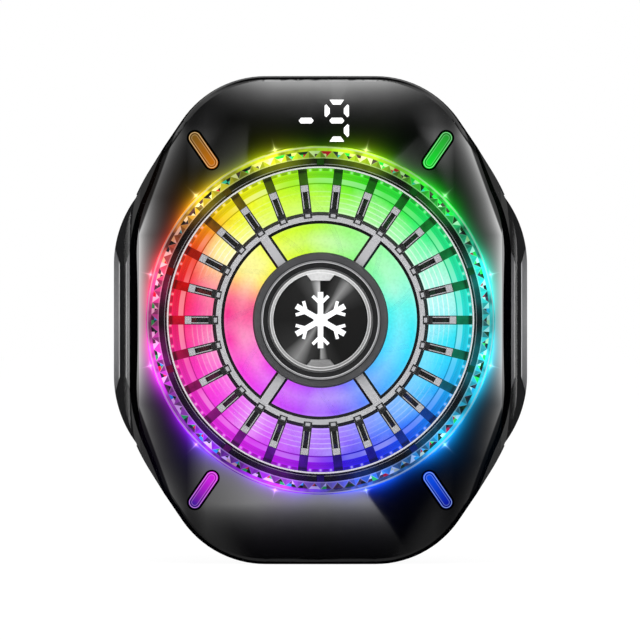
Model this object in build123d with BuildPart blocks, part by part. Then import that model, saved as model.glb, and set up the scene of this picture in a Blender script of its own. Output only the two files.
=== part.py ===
from build123d import *
import os
from math import atan2, cos, degrees, pi, radians, sin, tan

# Clip-on phone cooling fan. Millimetres, +Z up as it stands on its flat lower edge.
# The origin is the centre of the cold face that touches the phone. The fan looks along -Y.
# A depth is a distance from the cold face towards the front, so it is minus Y.

# Clearances, overrun of cuts
clearance = 0.3
fit_gap = 0.03
slot_gap = 0.05
overrun = 1.0

# Body outline seen from the front
body_half_height = 37.5
body_half_width = 30.4
top_corner_half = 16.7
side_corner_half = 17.2
top_corner_radius = 15.4
side_corner_radius = 23.0

# Depths of the stack, from the cold face to the front
pad_thickness = 0.6
cold_plate_thickness = 1.6
peltier_thickness = 3.4
heatsink_base_thickness = 1.8
fin_height = 5.0
cover_depth = 1.0
cover_thickness = 1.4
floor_thickness = 1.2
split_depth = 14.5
ceiling_depth = 22.4
dome_peak = 29.3
dome_radius = 110.0

# Walls
housing_wall = 2.0
side_wall = 1.5
shell_wall = 3.0
recess_half_width = 27.0
recess_gap = 0.4
lip_radius = 1.3

# Side facets of the front shell
crease_half_width = 27.98
crease_straight_half = 9.4
crease_bend_x = 25.5
crease_bend_z = 19.8
crease_kink_x = 21.85
crease_kink_z = 28.8
crease_depth = 25.65
facet_angle = 20.0
facet_reach = 14.0
facet_step_depth = 22.0
facet_back_angle = 9.0

# Front rings
opening_radius = 26.7
crystal_outer = 26.6
crystal_inner = 24.85
crystal_flange_outer = 27.1
crystal_flange_thickness = 0.55
crystal_front = 26.2
crystal_bead = 0.3
crystal_band_outer = 25.95
crystal_band_depth = 25.85
crystal_band_drop = 0.6
crystal_facet_count = 90
crystal_groove_width = 1.1
crystal_groove_tilt = 24.0
trim_outer = 24.8
trim_inner = 23.8
trim_height = 1.0
trim_notch = 0.6
tab_count = 10
tab_width = 1.1
tab_rise = 0.12
rim_outer = 23.55
rim_inner = 23.33
rim_height = 1.6

# Grille
grille_outer = 24.8
grille_ring_inner = 23.3
grille_ring_height = 1.2
spoke_count = 26
spoke_width = 1.38
spoke_inner = 15.45
spoke_back = 22.9
spoke_front = 24.3
slot_inner = 17.2
slot_outer = 19.8
slot_width = 0.72
slot_sink = 0.6
step_inner = 15.7
step_outer = 16.5
step_rise = 0.25
block_outer = 20.8
block_rise = 0.12
tip_front = 24.35
tip_seat = 23.5
ring_inner = 14.8
ring_outer = 16.6
ring_flat_inner = 15.25
ring_flat_outer = 16.05
ring_front = 24.5
ring_flank = 0.45
strut_width = 2.1
strut_flat_width = 1.35
strut_flank = 0.45
strut_spokes = (4, 9, 17, 22)
hub_radius = 10.4
hub_front = 24.2

# Hub dress
bezel_inner = 8.0
bezel_front = 25.6
bezel_ridge_radius = 9.15
bezel_ridge_rise = 0.3
bezel_edge = 0.5
bezel_channel = 0.7
medallion_ring_outer = 7.95
medallion_ring_inner = 7.25
medallion_ring_height = 1.2
medallion_tab_base = 4.25
medallion_tab_tip = 2.8
medallion_tab_reach = 6.06
medallion_disc_height = 0.9
emblem_height = 0.18
emblem_reach = 4.3
emblem_bar = 0.85
emblem_branch_at_share = 0.58
emblem_branch_length = 1.7
emblem_core = 1.1

# Light guide ring and diffuser disc
guide_outer = 23.6
guide_inner = 20.9
guide_height = 1.2
guide_step_radius = 22.2
guide_step = 0.35
guide_tooth_count = 90
guide_tooth_inner = 22.85
guide_tooth_width = 0.62
guide_tooth_depth = 0.45
diffuser_outer = 22.6
diffuser_inner = 9.1
diffuser_thickness = 1.0
diffuser_ridge_first = 16.8
diffuser_ridge_pitch = 0.75
diffuser_ridge_width = 0.35
diffuser_ridge_height = 0.3
diffuser_ridge_count = 5

# Boards and lamps of the front
board_thickness = 0.6
led_board_outer = 26.9
led_board_inner = 23.0
led_count = 12
led_first_angle = 15.0
led_radius = 25.8
led_size = 1.6
led_height = 0.5

# Corner light bars
bar_radius = 31.65
bar_angle = 34.6
bar_length = 6.45
bar_width = 1.85
bar_moat = 0.32
bar_flange = 0.75
bar_flange_thickness = 0.75
bar_proud = 0.12
bar_board_thickness = 0.8

# Two seven-segment digits
digit_half_width = 1.86
digit_half_height = 3.21
digit_pitch = 4.7
digit_shift = 0.15
digit_drop = 6.92
segment_height = 0.55
smoked_skin = 0.25
module_margin = 0.2
module_half_width = 6.2
module_thickness = 3.0

# Fan
frame_plate_thickness = 0.8
frame_gap = 0.5
frame_outer = 24.6
frame_ring_inner = 22.9
frame_ring_height = 0.8
frame_ring_depth = 19.8
frame_post_count = 12
frame_post_width = 1.2
frame_post_length = 1.4
frame_ear_x = 23.4
frame_ear_z = 11.5
frame_ear_radius = 1.8
tower_outer = 2.9
tower_bore = 2.3
tower_top = 18.6
sleeve_top = 19.6
shaft_radius = 1.0
shaft_head = 0.4
cup_outer = 8.6
cup_wall = 0.7
cup_roof = 0.9
cup_back = 15.2
impeller_front = 21.6
magnet_thickness = 0.9
magnet_height = 3.8
vane_count = 11
vane_tip = 22.2
vane_sweep = 40.0
vane_bow_share = 0.12
vane_thickness = 0.7
vane_back = 15.3
vane_front = 20.4
tie_inner = 21.1
tie_height = 0.8
stator_outer = 6.4
stator_core_outer = 3.7
stator_height = 3.0
stator_pole_count = 6
stator_pole_width = 1.1
stator_shoe = 0.8
stator_shoe_width = 4.6
coil_thickness = 0.5

# Heatsink, cooler module, cold plate
heatsink_half_width = 21.4
heatsink_end_space = 8.2
fin_count = 15
fin_thickness = 0.8
fin_pitch = 2.9
peltier_size = 30.0
ceramic_thickness = 0.8
pellet_rows = 8
pellet_size = 1.5
pellet_pitch = 3.4
gasket_inner = 30.6
gasket_outer = 32.4
floor_window = 32.7
cold_plate_size = 40.0
cold_plate_corner = 2.0
pad_size = 38.0
pad_corner = 3.0
window_gap = 0.3
plate_screw_x = 18.2
plate_screw_z = 9.0
sensor_x = 17.6
sensor_width = 1.6
sensor_length = 3.0
sensor_height = 1.0

# Screws
screw_shank = 0.8
screw_head = 1.5
screw_head_height = 0.8
boss_radius = 2.3
boss_x = 12.5
boss_edge_distance = 5.3
screw_bite = 4.0
socket_across = 1.2
socket_sink = 0.45

# Vents in the housing wall
vent_width = 1.1
vent_back = 6.6
vent_front = 12.8
end_vents = (5.7, 7.5, 9.3)
side_vent_drop = 9.9
side_vent_pitch = 2.6
side_vent_count = 3
end_vent_length = 2.9
side_vent_reach = 17.5

# Power socket, board, mode button
socket_width = 8.94
socket_height = 3.2
socket_length = 7.3
socket_wall = 0.3
socket_back = 9.0
tongue_width = 6.6
tongue_height = 0.7
tongue_length = 4.5
main_board_half_width = 9.9
main_board_thickness = 1.0
main_board_end_distance = 7.3
button_depth = 9.6
button_length = 7.0
button_width = 2.8
button_sink = 0.2
button_flange = 0.6
button_flange_height = 0.8
button_travel = 0.6
button_stem = 1.2
switch_size = 4.0
switch_height = 1.8

# Clamp arms
arm_inner = 27.3
arm_outer = 31.95
arm_half_height = 19.0
arm_end_x = 28.5
arm_straight_half = 8.6
arm_front = 14.1
jaw_back = 10.5
lip_thickness = 1.8
lip_inner = 23.4
lip_half_height = 13.5
arm_taper_start = 2.0
arm_edge = 0.8
jaw_pad_thickness = 1.2
jaw_pad_half_height = 12.5
jaw_pad_front = 0.4
jaw_groove_count = 9
jaw_groove_width = 0.8
jaw_groove_depth = 0.5
jaw_groove_pitch = 2.4
strip_thickness = 0.9
strip_half_height = 8.7
strip_point_half = 11.9
strip_back = 6.5

# Slide plates, pinion, springs
plate_thickness = 0.8
plate_gap = 0.1
lower_layer = 2.5
neck_low = 16.5
neck_high = 18.2
neck_slot_gap = 0.2
foot_low = 12.5
foot_depth = 1.0
arm_travel = 14.0
pinion_z = 22.6
pinion_radius = 3.5
pinion_teeth = 14
tooth_addendum = 0.4
tooth_dedendum = 0.5
tooth_backlash = 0.14
pressure_angle = 20.0
tooth_root_share = 1.35
tooth_tip_share = 0.42
tooth_bury_share = 0.9
window_margin = 0.4
plate_rim = 1.4
plate_top = 28.3
lower_neck_end = 10.0
hook_half_width = 0.9
right_hook_x = 8.0
right_post_x = -2.9
right_spring_z = -21.6
left_hook_x = -5.9
left_post_x = 6.1
left_spring_z = -24.9
spring_radius = 0.75
eyelet_radius = 1.2
eyelet_thickness = 0.7
hook_pin_radius = 0.5
pin_radius = 0.8

# Worked out from the sizes above
cold_plate_depth = pad_thickness
peltier_depth = pad_thickness + cold_plate_thickness
heatsink_depth = peltier_depth + peltier_thickness
fin_depth = heatsink_depth + heatsink_base_thickness
fin_front = fin_depth + fin_height
floor_depth = heatsink_depth - floor_thickness
cover_front = cover_depth + cover_thickness
frame_plate_depth = fin_front + frame_gap
frame_plate_front = frame_plate_depth + frame_plate_thickness
led_board_depth = frame_ring_depth + frame_ring_height
guide_depth = led_board_depth + board_thickness
grille_depth = guide_depth + guide_height
grille_ring_front = grille_depth + grille_ring_height
crystal_flange_front = ceiling_depth - slot_gap
housing_inner_half = recess_half_width - side_wall
upper_layer = lower_layer + plate_thickness + plate_gap
pinion_tip = pinion_radius + tooth_addendum
pinion_root = pinion_radius - tooth_dedendum
tooth_pitch = 2 * pi * pinion_radius / pinion_teeth
spring_depth = (cover_front + floor_depth) / 2
heatsink_half_height = body_half_height - heatsink_end_space
boss_z = body_half_height - boss_edge_distance
digit_z = body_half_height - digit_drop
recess_half_height = arm_half_height + recess_gap
facet_step_out = (crease_depth - facet_step_depth) * tan(radians(facet_angle))

# Section plane for turned pieces: local x is the radius, local y the depth
section = Plane(origin=(0, 0, 0), x_dir=(1, 0, 0), z_dir=(0, 0, -1))


def front(depth):
    """Plane that looks to the front at a depth; local x is X and local y is Z."""
    return Plane.XZ.offset(depth)


def body_outline(plane, inset):
    """Eight-cornered outline of the body, drawn in by an inset."""
    with BuildSketch(plane) as outline:
        with BuildLine():
            Polyline(
                (top_corner_half, body_half_height),
                (body_half_width, side_corner_half),
                (body_half_width, -side_corner_half),
                (top_corner_half, -body_half_height),
                (-top_corner_half, -body_half_height),
                (-body_half_width, -side_corner_half),
                (-body_half_width, side_corner_half),
                (-top_corner_half, body_half_height),
                close=True,
            )
        make_face()
        rows = outline.vertices().group_by(Axis.Y)
        fillet(rows[0] + rows[-1], top_corner_radius)
        columns = outline.vertices().group_by(Axis.X)
        fillet(columns[0] + columns[-1], side_corner_radius)
        if inset > 0:
            offset(amount=-inset, kind=Kind.INTERSECTION)
    return outline.sketch


def trimmed_outline(plane, inset, half_width, half_height):
    """The body outline drawn in and cut to a half width and a half height."""
    whole = body_outline(plane, inset)
    with BuildSketch(plane) as outline:
        add(whole)
        Rectangle(2 * half_width, 2 * half_height, mode=Mode.INTERSECT)
    return outline.sketch


def ring_face(depth, outer, inner):
    """Flat ring about the fan axis."""
    with BuildSketch(front(depth)) as face:
        Circle(outer)
        if inner > 0:
            Circle(inner, mode=Mode.SUBTRACT)
    return face.sketch


def square_face(depth, size, corner):
    """Square about the fan axis, with round corners."""
    with BuildSketch(front(depth)) as face:
        RectangleRounded(size, size, corner) if corner > 0 else Rectangle(size, size)
    return face.sketch


def turned(points):
    """Face of a turned piece from radius and depth points."""
    with BuildSketch(section) as face:
        with BuildLine():
            Polyline(*points, close=True)
        make_face()
    return face.sketch


def discs(depth, places, radius):
    """Discs at the listed places."""
    with BuildSketch(front(depth)) as face:
        with Locations(*places):
            Circle(radius)
    return face.sketch


def four_places(x, z):
    """The four mirror images of a place."""
    return [(x, z), (-x, z), (x, -z), (-x, -z)]


def dome_center():
    """Centre of the ball that shapes the front."""
    return (0, dome_radius - dome_peak, 0)


def finish(builder, name):
    """Labels a finished piece and writes it."""
    builder.part.label = name
    export_step(builder.part, "parts/" + name + ".step")


os.makedirs("parts", exist_ok=True)


# Digit segments: corner shares of the digit's half width and half height
upper_side_shares = ((0.865, 0.775), (1, 0.715), (1, 0.24), (0.865, 0.18), (0.585, 0.36), (0.585, 0.58))
segment_shares = {
    "top": ((-0.585, 1), (0.585, 1), (0.315, 0.78), (-0.315, 0.78)),
    "middle": ((-0.6, 0), (-0.43, 0.125), (0.43, 0.125), (0.6, 0), (0.43, -0.125), (-0.43, -0.125)),
    "bottom": ((-0.585, -1), (0.585, -1), (0.315, -0.78), (-0.315, -0.78)),
    "upper_right": upper_side_shares,
    "upper_left": tuple((-x, z) for x, z in upper_side_shares),
    "lower_right": tuple((x, -z) for x, z in upper_side_shares),
    "lower_left": tuple((-x, -z) for x, z in upper_side_shares),
}
lit_segments = {
    digit_shift - digit_pitch / 2: ("middle",),
    digit_shift + digit_pitch / 2: ("top", "middle", "bottom", "upper_right", "upper_left", "lower_right"),
}


def segments(plane, lit, grow):
    """Faces of the lit or the unlit segments of both digits."""
    with BuildSketch(plane) as face:
        for place, names in lit_segments.items():
            for name, corners in segment_shares.items():
                if (name in names) == lit:
                    with BuildLine():
                        Polyline(
                            *[
                                (place + x * digit_half_width, digit_z + z * digit_half_height)
                                for x, z in corners
                            ],
                            close=True,
                        )
                    make_face()
        if grow > 0:
            offset(amount=grow, kind=Kind.INTERSECTION)
    return face.sketch


def bar_places():
    """Places and turns of the four corner light bars."""
    x = bar_radius * sin(radians(bar_angle))
    z = bar_radius * cos(radians(bar_angle))
    return {
        "top_right": (x, z),
        "top_left": (-x, z),
        "bottom_left": (-x, -z),
        "bottom_right": (x, -z),
    }


def bar_face(depth, place, grow):
    """Rounded slot outline of one corner light bar, grown all round."""
    with BuildSketch(front(depth)) as face:
        with Locations(place):
            SlotOverall(
                bar_length + 2 * grow,
                bar_width + 2 * grow,
                rotation=degrees(atan2(place[1], place[0])),
            )
    return face.sketch


def facet_face(depth, side, out):
    """Region outside the side crease, moved out a little; it looks back."""
    plane = Plane(origin=(0, -depth, 0), x_dir=(-1, 0, 0), z_dir=(0, 1, 0))
    outside = side * (crease_half_width + facet_reach)
    edge_x = side * (crease_half_width + out)
    bend_x = side * (crease_bend_x + out)
    kink_x = side * (crease_kink_x + out)
    with BuildSketch(plane) as face:
        with BuildLine():
            straight = Line((edge_x, -crease_straight_half), (edge_x, crease_straight_half))
            upper = TangentArc(straight @ 1, (bend_x, crease_bend_z), tangent=straight % 1)
            lower = TangentArc(straight @ 0, (bend_x, -crease_bend_z), tangent=-(straight % 0))
            Polyline(
                upper @ 1,
                (kink_x, crease_kink_z),
                (outside, crease_kink_z),
                (outside, -crease_kink_z),
                (kink_x, -crease_kink_z),
                lower @ 1,
            )
        make_face()
    return face.sketch


# Room for the unlit segments, which end under a thin smoked skin
with BuildPart() as dark_slots:
    extrude(segments(front(split_depth), False, slot_gap), amount=dome_peak - split_depth)
    with Locations(dome_center()):
        Sphere(dome_radius - smoked_skin, mode=Mode.INTERSECT)

# Front shell: domed cover, two facets at each side, fan opening, light bar and digit slots
facets = (
    (crease_depth, 0, facet_angle),
    (facet_step_depth, facet_step_out, facet_back_angle),
)
with BuildPart() as front_shell:
    extrude(body_outline(front(split_depth), 0), amount=dome_peak - split_depth)
    with Locations(dome_center()):
        Sphere(dome_radius, mode=Mode.INTERSECT)
    fillet(front_shell.faces().filter_by(GeomType.SPHERE).edges(), lip_radius)
    for side in (1, -1):
        for depth, out, angle in facets:
            facet = facet_face(depth, side, out)
            extrude(facet, amount=depth - split_depth, taper=angle, mode=Mode.SUBTRACT)
            extrude(facet, amount=-(dome_peak - depth), mode=Mode.SUBTRACT)
    cavity = trimmed_outline(front(split_depth), shell_wall, recess_half_width - clearance, body_half_height)
    extrude(cavity, amount=shell_wall - overrun, mode=Mode.SUBTRACT)
    extrude(
        body_outline(front(split_depth + shell_wall - overrun), shell_wall),
        amount=ceiling_depth - split_depth - shell_wall + overrun,
        mode=Mode.SUBTRACT,
    )
    extrude(ring_face(split_depth, opening_radius, 0), amount=dome_peak - split_depth, mode=Mode.SUBTRACT)
    for place in bar_places().values():
        extrude(bar_face(split_depth, place, bar_moat), amount=dome_peak - split_depth, mode=Mode.SUBTRACT)
        extrude(
            bar_face(split_depth, place, bar_flange + 2 * slot_gap),
            amount=ceiling_depth - split_depth,
            mode=Mode.SUBTRACT,
        )
    extrude(
        segments(front(split_depth), True, slot_gap),
        amount=dome_peak - split_depth,
        mode=Mode.SUBTRACT,
    )
    add(dark_slots.part, mode=Mode.SUBTRACT)
    bosses = discs(split_depth, four_places(boss_x, boss_z), boss_radius)
    extrude(bosses, amount=ceiling_depth - split_depth)
    pilot = discs(split_depth, four_places(boss_x, boss_z), screw_shank + fit_gap)
    extrude(pilot, amount=screw_bite + clearance, mode=Mode.SUBTRACT)
finish(front_shell, "front_shell")

# Light pipes of the digits: the lit ones flush with the dome, the others under the skin
pipes_by_name = {
    "display_segments_lit": (True, dome_radius),
    "display_segments_dark": (False, dome_radius - smoked_skin - slot_gap),
}
for name, (lit, radius) in pipes_by_name.items():
    with BuildPart() as pipes:
        extrude(segments(front(ceiling_depth - segment_height), lit, 0), amount=dome_peak - ceiling_depth)
        with Locations(dome_center()):
            Sphere(radius, mode=Mode.INTERSECT)
    finish(pipes, name)

# Display module behind the digits
with BuildPart() as display_module:
    with BuildSketch(front(ceiling_depth - segment_height - module_thickness)):
        with Locations((0, digit_z)):
            Rectangle(2 * module_half_width, 2 * (digit_half_height + module_margin))
    extrude(amount=module_thickness)
finish(display_module, "display_module")

# Corner light bars, flanged behind the shell, each on its own small board
for name, place in bar_places().items():
    with BuildPart() as light_bar:
        extrude(
            bar_face(ceiling_depth - slot_gap - bar_flange_thickness, place, 0),
            amount=dome_peak - ceiling_depth,
        )
        with Locations(dome_center()):
            Sphere(dome_radius + bar_proud, mode=Mode.INTERSECT)
        fillet(light_bar.faces().filter_by(GeomType.SPHERE).edges(), bar_moat / 2)
        extrude(
            bar_face(ceiling_depth - slot_gap - bar_flange_thickness, place, bar_flange),
            amount=bar_flange_thickness,
        )
    finish(light_bar, "light_bar_" + name)

with BuildPart() as light_bar_boards:
    board_back = ceiling_depth - slot_gap - bar_flange_thickness - bar_board_thickness
    for place in bar_places().values():
        extrude(bar_face(board_back, place, bar_flange), amount=bar_board_thickness)
finish(light_bar_boards, "light_bar_boards")

# Clear ring with a band of prism grooves
crystal_back = crystal_flange_front - crystal_flange_thickness
with BuildPart(front(crystal_band_depth)) as crystal_ring:
    revolve(
        turned(
            [
                (crystal_inner, crystal_back),
                (crystal_flange_outer, crystal_back),
                (crystal_flange_outer, crystal_flange_front),
                (crystal_outer, crystal_flange_front),
                (crystal_outer, crystal_front - crystal_bead),
                (crystal_outer - crystal_bead, crystal_front),
                (crystal_band_outer, crystal_front - crystal_bead / 2),
                (crystal_band_outer, crystal_band_depth),
                (crystal_inner, crystal_band_depth - crystal_band_drop),
            ]
        ),
        Axis.Y,
    )
    with PolarLocations(crystal_band_outer, crystal_facet_count):
        with Locations(Location((0, 0, 0), (0, crystal_groove_tilt, 0))):
            Box(
                2 * (crystal_band_outer - crystal_inner),
                crystal_groove_width,
                crystal_groove_width,
                rotation=(45, 0, 0),
                align=(Align.MAX, Align.CENTER, Align.CENTER),
                mode=Mode.SUBTRACT,
            )
finish(crystal_ring, "crystal_ring")

# Dark ring with ten notches, and the translucent tabs in them
tab_middle = (trim_outer + trim_inner) / 2
tab_length = trim_outer - trim_inner
trim_notch_depth = grille_ring_front + trim_height - trim_notch


def tab_faces(depth, length, width):
    """Ten tab outlines, the first at twelve o'clock."""
    with BuildSketch(front(depth)) as face:
        with PolarLocations(tab_middle, tab_count, start_angle=90):
            Rectangle(length, width)
    return face.sketch


with BuildPart() as trim_ring:
    extrude(ring_face(grille_ring_front, trim_outer, trim_inner), amount=trim_height)
    extrude(
        tab_faces(trim_notch_depth, tab_length + 2 * overrun, tab_width + 2 * slot_gap),
        amount=trim_notch,
        mode=Mode.SUBTRACT,
    )
finish(trim_ring, "trim_ring")

with BuildPart() as trim_tabs:
    extrude(tab_faces(trim_notch_depth, tab_length - slot_gap, tab_width), amount=trim_notch + tab_rise)
finish(trim_tabs, "trim_tabs")

# Thin bright rim round the grille
with BuildPart() as rim_ring:
    extrude(ring_face(grille_ring_front, rim_outer, rim_inner), amount=rim_height)
finish(rim_ring, "rim_ring")

# Front grille: outer ring, slotted spokes, inner ring, four struts and hub plate


def spoke_bars(depth, inner, outer, width):
    """Radial bars from one radius to another, the first at three o'clock."""
    with BuildSketch(front(depth)) as face:
        with PolarLocations((inner + outer) / 2, spoke_count):
            Rectangle(outer - inner, width)
    return face.sketch


spoke_end = (grille_outer + grille_ring_inner) / 2
with BuildPart() as front_grille:
    extrude(spoke_bars(spoke_back, spoke_inner, spoke_end, spoke_width), amount=spoke_front - spoke_back)
    extrude(
        spoke_bars(spoke_front, step_inner, step_outer, spoke_width - 2 * slot_gap),
        amount=step_rise,
    )
    extrude(
        spoke_bars(spoke_front, slot_outer, block_outer, spoke_width - 2 * slot_gap),
        amount=block_rise,
    )
    extrude(
        spoke_bars(spoke_front - slot_sink, slot_inner, slot_outer, slot_width),
        amount=slot_sink,
        mode=Mode.SUBTRACT,
    )
    extrude(
        spoke_bars(tip_seat, block_outer, spoke_end, spoke_width + overrun),
        amount=spoke_front - tip_seat,
        mode=Mode.SUBTRACT,
    )
    extrude(ring_face(grille_depth, grille_outer, grille_ring_inner), amount=grille_ring_height)
    revolve(
        turned(
            [
                (ring_inner, spoke_back),
                (ring_outer, spoke_back),
                (ring_outer, ring_front - ring_flank),
                (ring_flat_outer, ring_front),
                (ring_flat_inner, ring_front),
                (ring_inner, ring_front - ring_flank),
            ]
        ),
        Axis.Y,
    )
    extrude(ring_face(spoke_back, hub_radius, 0), amount=hub_front - spoke_back)
    for spoke in strut_spokes:
        angle = 2 * pi * spoke / spoke_count
        outward = (cos(angle), 0, sin(angle))
        across = (-sin(angle), 0, cos(angle))
        root = Plane(
            origin=(hub_radius * cos(angle) / 2, -spoke_back, hub_radius * sin(angle) / 2),
            x_dir=across,
            z_dir=outward,
        )
        rise = (ring_front - spoke_back) * (1 if (root.y_dir.Y < 0) else -1)
        flank = strut_flank * (1 if (root.y_dir.Y < 0) else -1)
        with BuildSketch(root):
            with BuildLine():
                Polyline(
                    (-strut_width / 2, 0),
                    (-strut_width / 2, rise - flank),
                    (-strut_flat_width / 2, rise),
                    (strut_flat_width / 2, rise),
                    (strut_width / 2, rise - flank),
                    (strut_width / 2, 0),
                    close=True,
                )
            make_face()
        extrude(amount=ring_flat_inner - hub_radius / 2)
    extrude(
        ring_face(hub_front, hub_radius, 0),
        amount=ring_front - hub_front + overrun,
        mode=Mode.SUBTRACT,
    )
finish(front_grille, "front_grille")

# Translucent outer ends of the spokes
with BuildPart() as spoke_tips:
    extrude(
        spoke_bars(tip_seat, block_outer + slot_gap, grille_ring_inner - slot_gap, spoke_width),
        amount=tip_front - tip_seat,
    )
finish(spoke_tips, "spoke_tips")

# Hub bezel with a bright ridge and a channel inside it
with BuildPart() as hub_bezel:
    revolve(
        turned(
            [
                (bezel_inner, hub_front),
                (hub_radius, hub_front),
                (hub_radius, bezel_front - bezel_edge),
                (hub_radius - bezel_edge / 2, bezel_front),
                (bezel_ridge_radius, bezel_front),
                (bezel_ridge_radius, bezel_front + bezel_ridge_rise),
                (bezel_ridge_radius - bezel_ridge_rise, bezel_front + bezel_ridge_rise),
                (bezel_ridge_radius - bezel_ridge_rise, bezel_front - bezel_channel),
                (bezel_inner, bezel_front - bezel_channel),
            ]
        ),
        Axis.Y,
    )
finish(hub_bezel, "hub_bezel")

# Ring with two tabs, spun disc and frost symbol


def medallion_tabs(depth, grow):
    """Two tapered tabs that reach in from the ring, top and bottom."""
    root = (medallion_ring_outer + medallion_ring_inner) / 2
    with BuildSketch(front(depth)) as face:
        for side in (1, -1):
            with BuildLine():
                Polyline(
                    (-medallion_tab_base / 2 - grow, side * root),
                    (medallion_tab_base / 2 + grow, side * root),
                    (medallion_tab_base / 2 + grow, side * medallion_ring_inner * tab_root_share),
                    (medallion_tab_tip / 2 + grow, side * (medallion_tab_reach - grow)),
                    (-medallion_tab_tip / 2 - grow, side * (medallion_tab_reach - grow)),
                    (-medallion_tab_base / 2 - grow, side * medallion_ring_inner * tab_root_share),
                    close=True,
                )
            make_face()
    return face.sketch


tab_root_share = 0.955
with BuildPart() as medallion_ring:
    extrude(
        ring_face(hub_front, medallion_ring_outer, medallion_ring_inner),
        amount=medallion_ring_height,
    )
    extrude(medallion_tabs(hub_front, 0), amount=medallion_ring_height)
finish(medallion_ring, "medallion_ring")

with BuildPart() as medallion_disc:
    extrude(ring_face(hub_front, medallion_ring_inner - slot_gap, 0), amount=medallion_disc_height)
    extrude(medallion_tabs(hub_front, slot_gap), amount=medallion_disc_height, mode=Mode.SUBTRACT)
finish(medallion_disc, "medallion_disc")

with BuildPart() as hub_emblem:
    with BuildSketch(front(hub_front + medallion_disc_height)):
        RegularPolygon(emblem_core, 6)
        with PolarLocations(emblem_reach / 2, 6, start_angle=90):
            Rectangle(emblem_reach, emblem_bar)
        with PolarLocations(emblem_reach * emblem_branch_at_share, 6, start_angle=90):
            for turn in (45, -45):
                Rectangle(
                    emblem_branch_length,
                    emblem_bar * emblem_branch_at_share,
                    rotation=turn,
                    align=(Align.MIN, Align.CENTER),
                )
    extrude(amount=emblem_height)
finish(hub_emblem, "hub_emblem")

# Toothed light guide ring under the spoke ends
with BuildPart() as light_guide:
    revolve(
        turned(
            [
                (guide_inner, guide_depth),
                (guide_outer, guide_depth),
                (guide_outer, grille_depth),
                (guide_step_radius, grille_depth),
                (guide_step_radius, grille_depth - guide_step),
                (guide_inner, grille_depth - guide_step),
            ]
        ),
        Axis.Y,
    )
    with BuildSketch(front(grille_depth - guide_tooth_depth)):
        with PolarLocations((guide_tooth_inner + grille_ring_inner) / 2, guide_tooth_count):
            Rectangle(grille_ring_inner - guide_tooth_inner, guide_tooth_width)
    extrude(amount=guide_tooth_depth, mode=Mode.SUBTRACT)
finish(light_guide, "light_guide")

# Ring board with twelve lamps under the clear ring
with BuildPart() as led_board:
    extrude(ring_face(led_board_depth, led_board_outer, led_board_inner), amount=board_thickness)
finish(led_board, "led_board")

with BuildPart() as led_chips:
    with BuildSketch(front(guide_depth)):
        with PolarLocations(led_radius, led_count, start_angle=led_first_angle):
            Rectangle(led_size, led_size)
    extrude(amount=led_height)
finish(led_chips, "led_chips")

# Fan frame: plate with ears, bearing tower, posts and top ring
ear_places = four_places(frame_ear_x, frame_ear_z)
with BuildPart() as fan_frame:
    extrude(ring_face(frame_plate_depth, frame_outer, 0), amount=frame_plate_thickness)
    extrude(discs(frame_plate_depth, ear_places, frame_ear_radius), amount=frame_plate_thickness)
    extrude(ring_face(frame_plate_depth, tower_outer, 0), amount=tower_top - frame_plate_depth)
    post_middle = (frame_outer + frame_ring_inner) / 2
    with BuildSketch(front(frame_plate_depth)):
        with PolarLocations(post_middle, frame_post_count, start_angle=led_first_angle):
            Rectangle(frame_post_length, frame_post_width)
    extrude(amount=led_board_depth - frame_plate_depth - frame_ring_height / 2)
    extrude(ring_face(frame_ring_depth, frame_outer, frame_ring_inner), amount=frame_ring_height)
    extrude(
        ring_face(frame_plate_depth + frame_plate_thickness / 2, tower_bore, 0),
        amount=tower_top - frame_plate_depth,
        mode=Mode.SUBTRACT,
    )
    extrude(
        discs(frame_plate_depth, ear_places, screw_shank + slot_gap),
        amount=frame_plate_thickness,
        mode=Mode.SUBTRACT,
    )
finish(fan_frame, "fan_frame")

with BuildPart() as fan_screws:
    extrude(discs(frame_plate_front, ear_places, screw_head), amount=screw_head_height)
    extrude(
        discs(frame_plate_front - screw_bite, ear_places, screw_shank),
        amount=screw_bite,
    )
finish(fan_screws, "fan_screws")

# Rainbow diffuser disc on the frame plate, with round ridges
with BuildPart() as light_diffuser:
    extrude(ring_face(frame_plate_front, diffuser_outer, diffuser_inner), amount=diffuser_thickness)
    for ridge in range(diffuser_ridge_count):
        inner = diffuser_ridge_first + ridge * diffuser_ridge_pitch
        extrude(
            ring_face(frame_plate_front + diffuser_thickness, inner + diffuser_ridge_width, inner),
            amount=diffuser_ridge_height,
        )
finish(light_diffuser, "light_diffuser")

# Bearing sleeve, stator core and coils on the tower
sleeve_back = frame_plate_depth + frame_plate_thickness / 2
with BuildPart() as bearing_sleeve:
    extrude(ring_face(sleeve_back, tower_bore - fit_gap, 0), amount=sleeve_top - sleeve_back)
    extrude(
        ring_face(sleeve_back + shaft_head, shaft_radius + fit_gap, 0),
        amount=sleeve_top - sleeve_back,
        mode=Mode.SUBTRACT,
    )
finish(bearing_sleeve, "bearing_sleeve")

stator_back = tower_top - stator_height
pole_length = stator_outer - stator_core_outer - stator_shoe


def pole_faces(depth, inner, length, width):
    """Radial bars of the stator."""
    with BuildSketch(front(depth)) as face:
        with PolarLocations(inner + length / 2, stator_pole_count):
            Rectangle(length, width)
    return face.sketch


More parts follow.
